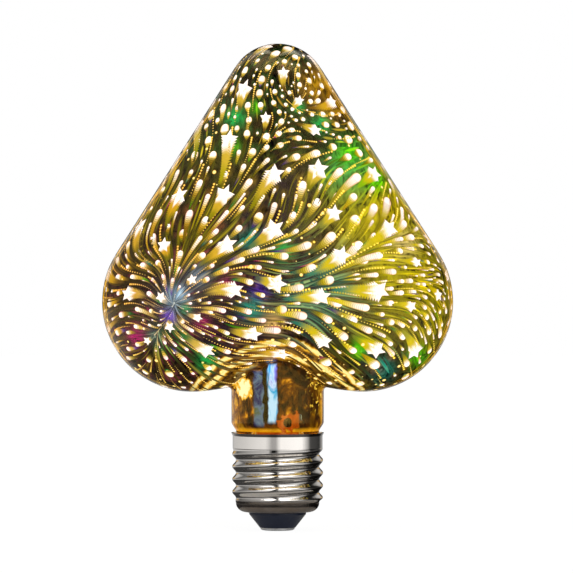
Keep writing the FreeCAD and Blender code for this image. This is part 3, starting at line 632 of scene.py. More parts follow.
class Heart:
    """At each angle round the axis the skin is a lobe arc, a straight flank and a crown arc."""

    def __init__(self, glass):
        self.glass = glass
        self.half_width = GLASS_TOP.x / MM
        self.half_depth = GLASS_TOP.y / MM
        self.crown_height = GLASS_TOP.z / MM - glass.crown_radius

    def section(self, turn, inset):
        glass = self.glass
        side = np.cos(turn) ** 2
        reach = 1 / np.hypot(np.cos(turn) / self.half_width, np.sin(turn) / self.half_depth)
        full = glass.front_radius + (glass.lobe_radius - glass.front_radius) * side
        height = glass.front_height + (glass.lobe_height - glass.front_height) * side
        centre = reach - full
        radius = full - inset
        crown = glass.crown_radius - inset
        rise = self.crown_height - height
        lean = np.arctan2(rise, -centre) - np.arccos((radius - crown) / np.hypot(centre, rise))
        return centre, height, radius, crown, lean

    def start(self, turn, inset):
        """Angle on the lobe arc where the neck's fillet ends, and the fillet's centre and radius."""
        centre, height, radius, _, _ = self.section(turn, inset)
        fillet = self.glass.neck_fillet + inset
        fillet_centre = self.glass.neck_radius - inset + fillet
        across = centre - fillet_centre
        drop = np.sqrt((radius + fillet) ** 2 - across**2)
        return np.arctan2(drop, across) - np.pi, fillet_centre, height - drop, fillet

    def at(self, turn, share, inset):
        """Points at shares of the way from the fillet round the lobe and up to the crown."""
        centre, height, radius, crown, lean = self.section(turn, inset)
        first = self.start(turn, inset)[0]
        rise = self.crown_height - height
        lobe = radius * (lean - first)
        flank = np.sqrt(centre**2 + rise**2 - (radius - crown) ** 2)
        along = share * (lobe + flank + crown * (np.pi / 2 - lean))
        on_lobe = first + np.minimum(along, lobe) / radius
        on_crown = lean + np.maximum(along - lobe - flank, 0) / crown
        slide = np.clip(along - lobe, 0, flank) / flank
        low_across = centre + radius * np.cos(on_lobe)
        low_up = height + radius * np.sin(on_lobe)
        high_across = np.maximum(crown * np.cos(on_crown), 0)
        high_up = self.crown_height + crown * np.sin(on_crown)
        across = np.where(along <= lobe, low_across, low_across + (high_across - low_across) * slide)
        up = np.where(along <= lobe, low_up, low_up + (high_up - low_up) * slide)
        across = np.where(along > lobe + flank, high_across, across)
        up = np.where(along > lobe + flank, high_up, up)
        return np.stack([across * np.cos(turn), across * np.sin(turn), up], -1)

    def measured(self, points, inset):
        """For each point: its turn, and in that plane its height over the skin and the way there."""
        turn = np.arctan2(points[..., 1], points[..., 0])
        across = np.hypot(points[..., 0], points[..., 1])
        up = points[..., 2]
        centre, height, radius, crown, lean = self.section(turn, inset)
        from_lobe = np.arctan2(up - height, across - centre)
        from_crown = np.arctan2(up - self.crown_height, across)
        on_crown = from_crown > lean
        on_lobe = (from_lobe < lean) & ~on_crown
        way = np.where(on_crown, from_crown, np.where(on_lobe, from_lobe, lean))
        base_across = np.where(on_crown, 0.0, centre)
        base_up = np.where(on_crown, self.crown_height, height)
        size = np.where(on_crown, crown, radius)
        over = (across - base_across) * np.cos(way) + (up - base_up) * np.sin(way) - size
        return turn, across, up, over, way

    def on_skin(self, points, inset):
        """The points moved in their own planes onto the skin at this inset."""
        turn, across, up, over, way = self.measured(points, inset)
        across = np.maximum(across - over * np.cos(way), 0)
        up = up - over * np.sin(way)
        return np.stack([across * np.cos(turn), across * np.sin(turn), up], -1)

    def normals(self, points, inset):
        slope = []
        for shift in np.eye(3) * 0.02:
            ahead = self.measured(points + shift, inset)[3]
            behind = self.measured(points - shift, inset)[3]
            slope.append(ahead - behind)
        return unit(np.stack(slope, -1))


def fanned(points, normals):
    """Opens the streaks of each face like a fan, up above the middle and down below it."""
    face = np.where(points[..., 1:2] < 0, 1.0, -1.0)
    far = smooth_step(FAN_START, FAN_END, points[..., 0:1] * face)
    far = far * (1 - smooth_step(FAN_LOW, FAN_HIGH, points[..., 2:3]))
    lift = far * np.clip((points[..., 2:3] - FAN_HEIGHT) / FAN_REACH, -1.0, 1.0)
    return FAN_SHARE * lift * unit(np.array([0.0, 0.0, 1.0]) - normals * normals[..., 2:3])


def flow(points, normals, hub_normals):
    """Direction in which the streaks' heads point: away from the hubs, along the skin."""
    total = np.zeros_like(points)
    for (place, strength, swirl, _), hub_normal in zip(HUBS, hub_normals):
        away = points - np.array(place)
        along = away - (away * normals).sum(-1, keepdims=True) * normals
        facing = np.clip(normals @ hub_normal + 0.5, 0.0, 1.0)[..., None]
        pull = strength * facing / ((away**2).sum(-1, keepdims=True) + 4.0)
        total += (along + swirl * np.cross(normals, along)) * pull
    total = unit(unit(total) + fanned(points, normals))
    turn = WAVER * sum(np.sin(points @ np.array(wave[:3]) + wave[3]) for wave in WAVES)[..., None]
    return total * np.cos(turn) + np.cross(normals, total) * np.sin(turn)


def hub_distances(points):
    places = np.array([hub[0] for hub in HUBS])
    return np.linalg.norm(points[:, None, :] - places[None, :, :], axis=-1)


def hazed(points, reach):
    """One at a hub that has a haze round it, nought far from all of them."""
    hazy = [i for i, hub in enumerate(HUBS) if hub[3] > 1]
    return np.exp(-((hub_distances(points)[:, hazy].min(axis=1) / reach) ** 2))


def nearness(points, place, reach):
    """One at a place and nought far from it."""
    return np.exp(-((points - np.array(place)) ** 2).sum(-1) / reach**2)


def fold_share(points):
    """One on the fold that arches over the neck, where a golden glow is painted, nought away from it."""
    off = np.abs(points[..., 2] - FOLD_TOP + FOLD_BEND * points[..., 0] ** 2)
    return (1 - smooth_step(*FOLD_HALF, off)) * (1 - smooth_step(*FOLD_WIDTH, np.abs(points[..., 0])))


def field_colours(points):
    """Colours of the streaks' middles and tail ends, and of the ground, at each point."""
    shape = points.shape[:-1] + (1,)
    total = np.full(shape, 0.02)
    sums = [total * colour_of(name) for name in ("cream", "olive", "umber")]
    for place, reach, *names in FIELDS:
        weight = nearness(points, place, reach)[..., None]
        total = total + weight
        sums = [part + weight * colour_of(name) for part, name in zip(sums, names)]
    middle, end, ground = (part / total for part in sums)
    for side, patches in ((-1, FRONT_PATCHES), (1, BACK_PATCHES)):
        for width, height, reach, name, share in patches:
            gap = (points[..., 0:1] - width) ** 2 + (points[..., 2:3] - height) ** 2
            weight = np.exp(-gap / reach**2) * (points[..., 1:2] * side > 0)
            end = end + (colour_of(name) * share - end) * weight
            ground = ground + (colour_of(name) * share - ground) * weight
    # Painted reflection of a softbox: round the hubs with a large haze the streaks turn pale blue and the
    # ground grey blue
    reaches = np.array([hub[3] for hub in HUBS])
    near = np.exp(-((hub_distances(points.reshape(-1, 3)) / reaches) ** 2)).max(axis=1).reshape(shape)
    tints = (colour_of("sky") * 0.9, colour_of("sky") * 0.4, colour_of("slate") * 1.2)
    return [part + (tint - part) * near for part, tint in zip((middle, end, ground), tints)]


# Mesh tools


def mesh_of(name, points, faces, finishes):
    """A mesh from points in mm."""
    mesh = bpy.data.meshes.new(name)
    mesh.from_pydata((points * MM).tolist(), [], faces if isinstance(faces, list) else faces.tolist())
    for finish in finishes:
        mesh.materials.append(finish.material)
    return mesh


def linked(name, data):
    """An object in the scene that holds this mesh, light or camera."""
    made = bpy.data.objects.new(name, data)
    bpy.context.scene.collection.objects.link(made)
    return made


def make_piece(name, points, faces, finishes, colours=None, picked=None, along=None):
    """A mesh piece that rides on the lamp, with its light and its way along a tail at its points."""
    mesh = mesh_of(name, points, faces, finishes)
    if picked is not None:
        mesh.polygons.foreach_set("material_index", picked)
    mesh.polygons.foreach_set("use_smooth", np.ones(len(mesh.polygons), bool))
    if colours is not None:
        # Painted shade: light near the mould seam's plane is dimmed, so that the flanks' edges look dark
        # from the front
        off_painted_edge_shade = smooth_step(*PAINTED_EDGE_SHADE_FADE, np.abs(points[:, 1:2]))
        lit = colours * (PAINTED_EDGE_SHADE + (1 - PAINTED_EDGE_SHADE) * off_painted_edge_shade)
        rgba = np.concatenate([lit, np.ones((len(lit), 1))], axis=1)
        layer = mesh.color_attributes.new("Light", "FLOAT_COLOR", "POINT")
        layer.data.foreach_set("color", rgba.astype(np.float32).ravel())
    if along is not None:
        layer = mesh.attributes.new("Along", "FLOAT", "POINT")
        layer.data.foreach_set("value", along.astype(np.float32))
    mesh.update()
    piece = linked(name, mesh)
    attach(piece, BODY)
    return piece


def grid_faces(rows, columns, closed, base=0):
    """Quads of a grid of points in rows; closed joins the last column to the first."""
    i, j = np.meshgrid(np.arange(rows - 1), np.arange(columns if closed else columns - 1), indexing="ij")
    k = (j + 1) % columns
    quads = [i * columns + j, i * columns + k, (i + 1) * columns + k, (i + 1) * columns + j]
    return base + np.stack(quads, -1).reshape(-1, 4)


def ring_turns(count):
    return np.arange(count) * 2 * np.pi / count


def make_ribbons(name, points, colours, finish, along=None):
    """Makes a front and a back piece of ribbons, whose points lie by streak, step and place across."""
    count, steps, across, _ = points.shape
    faces = grid_faces(steps, across, False) + np.arange(count)[:, None, None] * steps * across
    front = points[..., 1].mean(axis=(1, 2)) <= 0
    for half, chosen in (("front", front), ("back", ~front)):
        used, fresh = np.unique(faces[chosen], return_inverse=True)
        way = None if along is None else along.reshape(-1)[used]
        lit = colours.reshape(-1, 3)[used]
        make_piece(
            f"{name}_{half}", points.reshape(-1, 3)[used], fresh.reshape(-1, 4), [finish], lit, along=way
        )


def across_ribbon(line, edge, rim):
    """Colours over the width of ribbons, from their lines to their edges."""
    rim = rim[None, None, :, None]
    return line[:, :, None, :] * (1 - rim) + edge[:, :, None, :] * rim


def light_finish(name, ribbed=False):
    """A dark gloss that gives off the light in its vertex colours, crossed by ribs on tails."""
    finish = Finish(name, base_color=(0.01, 0.008, 0.008), roughness=0.35, specular_ior_level=0.0)
    dark = finish.noise(900, 2.0) * 0.25
    if ribbed:
        way = finish.node("ShaderNodeAttribute", {"attribute_name": "Along"})
        turn = Maths(finish, way.outputs["Fac"]) * (2 * math.pi / RIB_GAP)
        dark = dark + RIB_DEPTH * (0.5 - 0.5 * turn.joined("COSINE", turn))
    finish.give(
        emission_color=finish.mixed(dark.clamped(), finish.vertex_colour("Light"), BLACK),
        emission_strength=Settings("lamp_streaks").glow,
    )
    return finish


# Placing the streaks


class Pattern:
    """Seeded places and directions of every streak, shared by the operators."""

    def __init__(self):
        self.glass = Settings("lamp_glass")
        self.streaks = Settings("lamp_streaks")
        self.heart = Heart(self.glass)
        self.random = np.random.default_rng(self.streaks.seed)
        self.inset = (self.glass.top_inset + self.glass.film_inset) / 2
        places = np.array([hub[0] for hub in HUBS])
        self.hub_normals = self.heart.normals(places, self.inset)

    def scattered(self, count):
        """Points spread evenly over the skin."""
        turn = self.random.uniform(-np.pi, np.pi, count * 4)
        share = self.random.uniform(0.0, 1.0, count * 4)
        points = self.heart.at(turn, share, self.inset)
        step = 0.004
        up = self.heart.at(turn, share + step, self.inset) - points
        aside = self.heart.at(turn + step, share, self.inset) - points
        area = np.linalg.norm(np.cross(up, aside), axis=1)
        kept = self.random.uniform(0.0, 1.0, len(area)) < area / area.max()
        return points[kept]

    def spaced(self, candidates, gaps, taken=()):
        """Candidates that stay their gap away from each other and from the taken ones."""
        cell = float(np.max(gaps))
        cells = {}
        for point, gap in taken:
            key = tuple((point // cell).astype(int))
            cells.setdefault(key, []).append((point, gap))
        kept = []
        for i, point in enumerate(candidates):
            gap = gaps[i]
            x, y, z = (point // cell).astype(int)
            near = (
                other
                for dx in (-1, 0, 1)
                for dy in (-1, 0, 1)
                for dz in (-1, 0, 1)
                for other in cells.get((x + dx, y + dy, z + dz), ())
            )
            if all(((point - other) ** 2).sum() > ((gap + other_gap) / 2) ** 2 for other, other_gap in near):
                cells.setdefault((x, y, z), []).append((point, gap))
                kept.append(i)
        return kept

    def closeness(self, points):
        """Size of a streak at each point: small near a hub and round the underside."""
        size = np.clip(0.42 + hub_distances(points).min(axis=1) / 30, 0.45, 1.15)
        size = size * (0.6 + 0.4 * smooth_step(38, 50, points[:, 2]))
        for place, reach, change in SIZE_SPOTS:
            size = size * (1 + change * nearness(points, place, reach))
        return size

    def traced(self, heads, steps, levels):
        """Points back along the flow from each head, one row of points for each step."""
        here = self.heart.on_skin(heads, levels)
        rows = [here]
        ways = []
        for k in range(steps.shape[1]):
            normals = self.heart.normals(here, levels)
            way = flow(here, normals, self.hub_normals)
            ways.append(way)
            here = self.heart.on_skin(here - way * steps[:, k:k + 1], levels)
            rows.append(here)
        ways.append(ways[-1])
        return np.stack(rows, 1), np.stack(ways, 1)

    def ribbons(self, rows, ways, half_widths, offsets, levels):
        """Vertices of ribbons along the rows: streak, step and place across."""
        count, steps, _ = rows.shape
        flat = rows.reshape(-1, 3)
        normals = self.heart.normals(flat, np.repeat(levels, steps))
        side = unit(np.cross(normals, ways.reshape(-1, 3))).reshape(count, steps, 1, 3)
        spread = rows[:, :, None, :] + side * (half_widths[:, :, None, None] * offsets[None, None, :, None])
        deep = np.repeat(levels, steps * len(offsets))
        return self.heart.on_skin(spread.reshape(-1, 3), deep).reshape(count, steps, len(offsets), 3)

    def levels(self, count, low, high):
        """Insets between two shares of the room under the glass, so that streaks don't coincide."""
        share = self.random.permutation(count) / max(count, 1)
        room = self.glass.film_inset - self.glass.top_inset
        return self.glass.film_inset - room * (low + (high - low) * share)

    def dots(self, places, deep):
        """The directions to each side and ahead on the skin at these places."""
        normals = self.heart.normals(places, deep)
        side = unit(np.cross(normals, np.array([0.31, 0.2, 0.93])))
        return side, np.cross(side, normals)


# Operators


class LampOperator(bpy.types.Operator):
    bl_options = {"REGISTER", "UNDO"}


class LAMP_OT_comets(LampOperator):
    """Make the comets: round heads of light with tails along the flow"""

    bl_idname = "lamp.comets"
    bl_label = "Comets"

    def execute(self, context):
        pattern = MADE["pattern"] = Pattern()
        heads, size, kind = self.placed(pattern)
        radius, reach, dotted = self.sized(pattern, heads, size, kind)
        levels = pattern.levels(len(heads), *COMET_LEVELS)
        head_end = HEAD_STEPS[-1] * radius[:, None]
        tail = head_end + (reach - HEAD_STEPS[-1] * radius)[:, None] * TAIL_STEPS
        along = np.concatenate([radius[:, None] * HEAD_STEPS, tail], 1)
        rows, ways = pattern.traced(heads, np.diff(along, axis=1), levels)
        head_width = np.sqrt(np.maximum(2 * HEAD_STEPS - HEAD_STEPS**2, 0))
        head_width[HEAD_FULL:] = 1.0
        shape = np.concatenate([head_width, 0.9 * (1 - TAIL_STEPS) ** 1.1 + 0.06])
        points = pattern.ribbons(rows, ways, radius[:, None] * shape, COMET_ACROSS, levels)
        white = (radius * (0.3 + dotted))[:, None]
        share = np.maximum(along - white, 0) / (reach[:, None] - white)
        colours = self.coloured(pattern, rows, share)
        past = np.maximum(along - head_end, 0)[:, :, None]
        bowed = past + RIB_BOW * radius[:, None, None] * COMET_ACROSS**2 * (past > 0)
        MADE["comets"] = heads, radius, rows
        make_ribbons("comets", points, colours, light_finish("comet_light", ribbed=True), bowed)
        return {"FINISHED"}

    def placed(self, pattern):
        """Heads of the comets with their size and kind, large ones first, and clear of the stars."""
        rng = pattern.random
        candidates = pattern.scattered(COMET_TRIES)
        candidates = candidates[rng.uniform(0, 1, len(candidates)) > 0.8 * fold_share(candidates)]
        size = pattern.closeness(candidates)
        star_places = candidates[candidates[:, 2] > STAR_LOWEST][:STAR_TRIES]
        star_size = pattern.closeness(star_places)
        stars = pattern.spaced(star_places, pattern.streaks.star_gap * np.clip(star_size, 0.7, 1.0))
        MADE["stars"] = star_places[stars], star_size[stars]
        taken = [(place, STAR_ROOM) for place in star_places[stars]]
        taken += [(np.array(hub[0]), 2 * hub[3]) for hub in HUBS]
        kind = rng.choice(len(COMET_OFTEN), len(candidates), p=COMET_OFTEN)
        order = np.argsort(kind, kind="stable")
        candidates, size, kind = candidates[order], size[order], kind[order]
        gaps = pattern.streaks.comet_gap * COMET_GAPS[kind] * size * self.sparseness(candidates)
        kept = pattern.spaced(candidates, gaps, taken)
        return candidates[kept], size[kept], kind[kept]

    def sparseness(self, points):
        """Factor on the gaps: wider round the neck, closer on each face's right and at the top."""
        height = points[:, 2]
        off_axis = np.hypot(points[:, 0], points[:, 1])
        right = points[:, 0] * np.where(points[:, 1] < 0, 1.0, -1.0)
        sparse = 2 - smooth_step(43, 52, height)
        sparse += 1.6 * (1 - smooth_step(46, 52, height)) * (1 - smooth_step(17, 23, off_axis))
        sparse *= 1 - 0.16 * smooth_step(15, 25, right)
        return sparse * (1 - 0.2 * smooth_step(*DOTTED_TOP, height))

    def sized(self, pattern, heads, size, kind):
        """Radius and length of each comet, and how far it has turned into a dot."""
        rng = pattern.random
        height = heads[:, 2]
        radius = pattern.streaks.comet_width / 2 * COMET_WIDTHS[kind] * size
        radius = radius * rng.uniform(*WIDTH_SPREAD, len(heads))
        reach = pattern.streaks.comet_length * size * COMET_LENGTHS[kind]
        reach = reach * rng.uniform(*LENGTH_SPREAD, len(heads))
        reach = reach * np.where(rng.uniform(0, 1, len(heads)) < LONG_OFTEN, LONG_FACTOR, 1.0)
        dotted = np.maximum(smooth_step(*DOTTED_TOP, height), 1 - smooth_step(*DOTTED_FOOT, height))
        radius = radius * (1 + 0.15 * dotted) * (1 + 0.3 * (height < 48))
        reach = np.maximum(reach * (1 - 0.66 * dotted), radius * (2.6 + 0.9 * dotted))
        return radius, reach, dotted

    def coloured(self, pattern, rows, share):
        """White heads, a warm middle and a tail in the colours of the field that it lies in."""
        rng = pattern.random
        each = (len(rows), 1, 1)
        middle, end, ground = field_colours(rows)
        accents = np.array([colour_of(name) for name in ACCENTS])[rng.choice(len(ACCENTS), len(rows))]
        accented = ACCENT_DEPTH * (rng.uniform(0, 1, each) < ACCENT_OFTEN)
        end = end + (accents[:, None, :] - end) * accented
        white = colour_of("white") * (1 - 0.25 * rng.uniform(0, 1, each) ** 3)
        way = share[..., None] * (1 + 0.6 * hazed(rows[:, 0], SHORT_REACH)[:, None, None])
        turns = (
            (0.12, 0.3, colour_of("cream")),
            (0.18, 0.42, middle),
            (0.42, 0.78, end),
            (0.76, 1.0, ground),
        )
        line = graded(white, turns, way)
        blush = hazed(rows[:, 0], BLUSH_REACH)[:, None, None] * (rng.uniform(0, 1, each) < 0.6)
        edge = colour_of("gold") * 0.9
        edge = edge + (colour_of("magenta") - edge) * blush
        edge = graded(edge, ((0.15, 0.4, middle * 0.6), (0.35, 0.7, end * 0.5), (0.7, 1.0, ground)), way)
        dim = 1 - rng.uniform(0, 0.75, each) * smooth_step(0.2, 0.5, way)
        return across_ribbon(line * dim, edge * dim, smooth_step(0.55, 1.0, np.abs(COMET_ACROSS)) * 0.9)


class LAMP_OT_stars(LampOperator):
    """Make the stars, each a stack of shrinking outlines that leaves a notched tail"""

    bl_idname = "lamp.stars"
    bl_label = "Stars"

    def execute(self, context):
        pattern = MADE["pattern"]
        rng = pattern.random
        heads, size = MADE["stars"]
        count = len(heads)
        radius = 1.1 * pattern.streaks.star_radius * np.clip(size, 0.6, 1.05)
        radius = radius * rng.uniform(*STAR_SPREAD, count)
        reach = radius * rng.uniform(*STAR_LENGTH, count) * (1 - 0.4 * hazed(heads, 20))
        steps = np.repeat((reach / STAR_COPIES)[:, None], STAR_COPIES - 1, axis=1)
        low = pattern.levels(count, *STAR_LEVELS)
        rise = (pattern.glass.film_inset - pattern.glass.top_inset) * STAR_STACK / STAR_COPIES
        rows, ways = pattern.traced(heads, steps, low)
        tints = [tint * 0.75 for tint in field_colours(rows)]
        turn = rng.uniform(0, 2 * np.pi, count)[:, None] + ring_turns(STAR_CORNERS)[None, :]
        points, colours, faces = [], [], []
        for k in reversed(range(STAR_COPIES)):
            share = k / (STAR_COPIES - 1)
            scale = radius * (1 - 0.8 * share**0.8)
            levels = low - rise * (STAR_COPIES - k)
            base = len(points) * count * (STAR_CORNERS + 1)
            points.append(self.outlines(pattern, rows[:, k], ways[:, k], scale, turn, levels))
            colours.append(self.shaded(share, *(tint[:, k] for tint in tints)))
            for hub in range(base, base + count * (STAR_CORNERS + 1), STAR_CORNERS + 1):
                faces += [(hub, hub + 1 + j, hub + 1 + (j + 1) % STAR_CORNERS) for j in range(STAR_CORNERS)]
        finish = light_finish("star_light")
        make_piece("stars", np.concatenate(points), faces, [finish], np.concatenate(colours))
        return {"FINISHED"}

    def outlines(self, pattern, places, ways, scale, turn, levels):
        """A star's middle and corners at each place."""
        spike = np.where(np.arange(STAR_CORNERS) % 2 == 0, 1.0, STAR_WAIST)
        normals = pattern.heart.normals(places, levels)
        side = unit(np.cross(normals, ways))
        ahead = np.cross(side, normals)
        turned = side[:, None] * np.cos(turn)[..., None] + ahead[:, None] * np.sin(turn)[..., None]
        ring = places[:, None] + (scale[:, None] * spike[None, :])[..., None] * turned
        both = np.concatenate([places[:, None], ring], 1).reshape(-1, 3)
        return pattern.heart.on_skin(both, np.repeat(levels, STAR_CORNERS + 1))

    def shaded(self, share, middle, end, ground):
        """Colours of one outline of every star, a little darker at the corners."""
        turns = ((0.0, 0.25, middle), (0.3, 0.75, end), (0.8, 1.0, ground))
        tint = graded(colour_of("pink") * 1.05, turns, share)
        corners = np.repeat(tint[:, None] * 0.86, STAR_CORNERS, 1)
        return np.concatenate([tint[:, None], corners], 1).reshape(-1, 3)


class LAMP_OT_strokes(LampOperator):
    """Make the long faint strokes between the comets"""

    bl_idname = "lamp.strokes"
    bl_label = "Faint strokes"

    def execute(self, context):
        pattern = MADE["pattern"]
        rng = pattern.random
        candidates = pattern.scattered(STROKE_TRIES)
        height = candidates[:, 2]
        bare = np.maximum(0.9 * fold_share(candidates), 0.75 * smooth_step(100, 112, height))
        bare = np.maximum(bare, 0.85 * (1 - smooth_step(44, 54, height)))
        candidates = candidates[rng.uniform(0, 1, len(candidates)) > bare]
        size = pattern.closeness(candidates)
        kept = pattern.spaced(candidates, STROKE_GAP * size)
        heads, size = candidates[kept], size[kept]
        reach = rng.uniform(*STROKE_LENGTH, len(heads)) * size
        reach = reach * (1 - 0.6 * smooth_step(98, 110, heads[:, 2]))
        half = rng.uniform(*STROKE_HALF, len(heads)) * size
        share = np.linspace(0, 1, STROKE_STEPS)
        levels = pattern.levels(len(heads), *STROKE_LEVELS)
        rows, ways = pattern.traced(heads, np.diff(reach[:, None] * share, axis=1), levels)
        shape = np.sin(np.pi * (0.06 + 0.9 * share)) ** 0.7
        points = pattern.ribbons(rows, ways, half[:, None] * shape, STROKE_ACROSS, levels)
        middle, end, ground = field_colours(rows)
        light = rng.uniform(0.0, 1.0, (len(heads), 1, 1)) ** 2
        body = end * (0.15 + light) + middle * 0.35 * light**3
        fade = smooth_step(0.0, 0.25, share) * (1 - smooth_step(0.7, 1.0, share))
        line = ground + (body - ground) * fade[None, :, None]
        colours = across_ribbon(line, ground + (line - ground) * 0.25, np.abs(STROKE_ACROSS))
        make_ribbons("strokes", points, colours, light_finish("stroke_light"))
        return {"FINISHED"}


class LAMP_OT_beads(LampOperator):
    """Make the dotted chains and the single round sparks"""

    bl_idname = "lamp.beads"
    bl_label = "Dotted chains and sparks"

    def execute(self, context):
        pattern = MADE["pattern"]
        both = (self.chains(pattern), self.sparks(pattern))
        places, radii, tints, deep = (np.concatenate(parts) for parts in zip(*both))
        side, ahead = pattern.dots(places, deep)
        turn = ring_turns(DOT_CORNERS)[None, :, None]
        way = side[:, None] * np.cos(turn) + ahead[:, None] * np.sin(turn)
        rings = [places[:, None] + way * (radii * scale)[:, None, None] for scale in (0.6, 1.0)]
        points = np.concatenate([places[:, None], *rings], 1)
        each = points.shape[1]
        points = pattern.heart.on_skin(points.reshape(-1, 3), np.repeat(deep, each))
        core = np.minimum(tints * 1.2 + 0.12, 1.2)[:, None]
        rims = np.repeat((tints * colour_of("gold"))[:, None], DOT_CORNERS, 1)
        colours = np.concatenate([core, np.repeat(core, DOT_CORNERS, 1), rims], 1).reshape(-1, 3)
        one = []
        for j in range(1, DOT_CORNERS + 1):
            k = j % DOT_CORNERS + 1
            one += [(0, j, k), (j, DOT_CORNERS + j, DOT_CORNERS + k, k)]
        faces = [[base + i for i in face] for base in range(0, len(points), each) for face in one]
        make_piece("beads", points, faces, [light_finish("bead_light")], colours)
        return {"FINISHED"}

    def chains(self, pattern):
        """Places, radii, colours and insets of the dots in chains, which shrink along the flow."""
        candidates = pattern.scattered(CHAIN_TRIES)
        size = pattern.closeness(candidates)
        kept = pattern.spaced(candidates, CHAIN_GAP * size)
        heads, size = candidates[kept], size[kept]
        levels = pattern.levels(len(heads), *CHAIN_LEVELS)
        gaps = pattern.random.uniform(*CHAIN_STEP, len(heads)) * size
        rows, _ = pattern.traced(heads, np.repeat(gaps[:, None], CHAIN_DOTS - 1, axis=1), levels)
        radii = np.linspace(*CHAIN_RADIUS, CHAIN_DOTS)[None, :] * size[:, None]
        middle, end, _ = field_colours(rows)
        fade = 0.4 * np.linspace(0, 1, CHAIN_DOTS)[None, :, None]
        tints = middle * (1 - fade) + end * fade
        return rows.reshape(-1, 3), radii.ravel(), tints.reshape(-1, 3), np.repeat(levels, CHAIN_DOTS)

    def sparks(self, pattern):
        """The same for the single sparks, which are common at the foot and the top."""
        rng = pattern.random
        places = pattern.scattered(SPARK_TRIES)
        height = places[:, 2] + SPARK_RAGGED * rng.uniform(-1, 1, len(places))
        often = (height < SPARK_LOW) | (height > SPARK_HIGH)
        places = places[often | (rng.uniform(0, 1, len(places)) < SPARK_ELSEWHERE)]
        taken = [(place, SPARK_GAP) for place in MADE["comets"][0]]
        taken += [(place, SPARK_STAR_ROOM) for place in MADE["stars"][0]]
        places = places[pattern.spaced(places, np.full(len(places), SPARK_GAP), taken)]
        levels = pattern.levels(len(places), *SPARK_LEVELS)
        radii = rng.uniform(*SPARK_RADIUS, len(places)) ** SPARK_POWER
        return places, radii, np.repeat(colour_of("cream")[None], len(places), 0), levels


class LAMP_OT_painted_rim(LampOperator):
    """Make the thin broken lines of painted golden rim light along the mould seam of both flanks"""

    bl_idname = "lamp.seam"
    bl_label = "Seam lines"

    def execute(self, context):
        pattern = MADE["pattern"]
        inset = pattern.glass.top_inset
        share = np.linspace(PAINTED_RIM_FROM, PAINTED_RIM_TO, PAINTED_RIM_STEPS)
        taper = np.sin(np.pi * np.linspace(0.02, 0.98, PAINTED_RIM_STEPS)) ** 0.4
        breaks = np.linspace(0, 1, PAINTED_RIM_BREAKS)
        points, colours, faces = [], [], []
        for side in (0.0, np.pi):
            across = np.abs(pattern.heart.at(np.full(PAINTED_RIM_STEPS, side), share, inset)[:, 0])
            for middle, part in PAINTED_RIM_LINES:
                light = np.interp(share, breaks, pattern.random.uniform(-0.6, 1.4, PAINTED_RIM_BREAKS))
                light = np.clip(light, 0.0, 1.0)
                half = PAINTED_RIM_WIDTH / 2 * taper * smooth_step(-0.05, 0.25, light)
                rows = []
                for place in np.linspace(-1, 1, PAINTED_RIM_ACROSS):
                    turn = np.arcsin(np.clip((middle + half * place) / across, -0.9, 0.9))
                    rows.append(pattern.heart.at(np.abs(side - turn) if side else turn, share, inset))
                base = PAINTED_RIM_STEPS * PAINTED_RIM_ACROSS * len(points)
                faces.append(grid_faces(PAINTED_RIM_STEPS, PAINTED_RIM_ACROSS, False, base))
                points.append(np.stack(rows, 1).reshape(-1, 3))
                colours.append(np.repeat(light[:, None] * part * colour_of("gold"), PAINTED_RIM_ACROSS, 0))
        parts = (np.concatenate(points), np.concatenate(faces), [light_finish("seam_light")])
        make_piece("seam_lines", *parts, np.concatenate(colours))
        return {"FINISHED"}


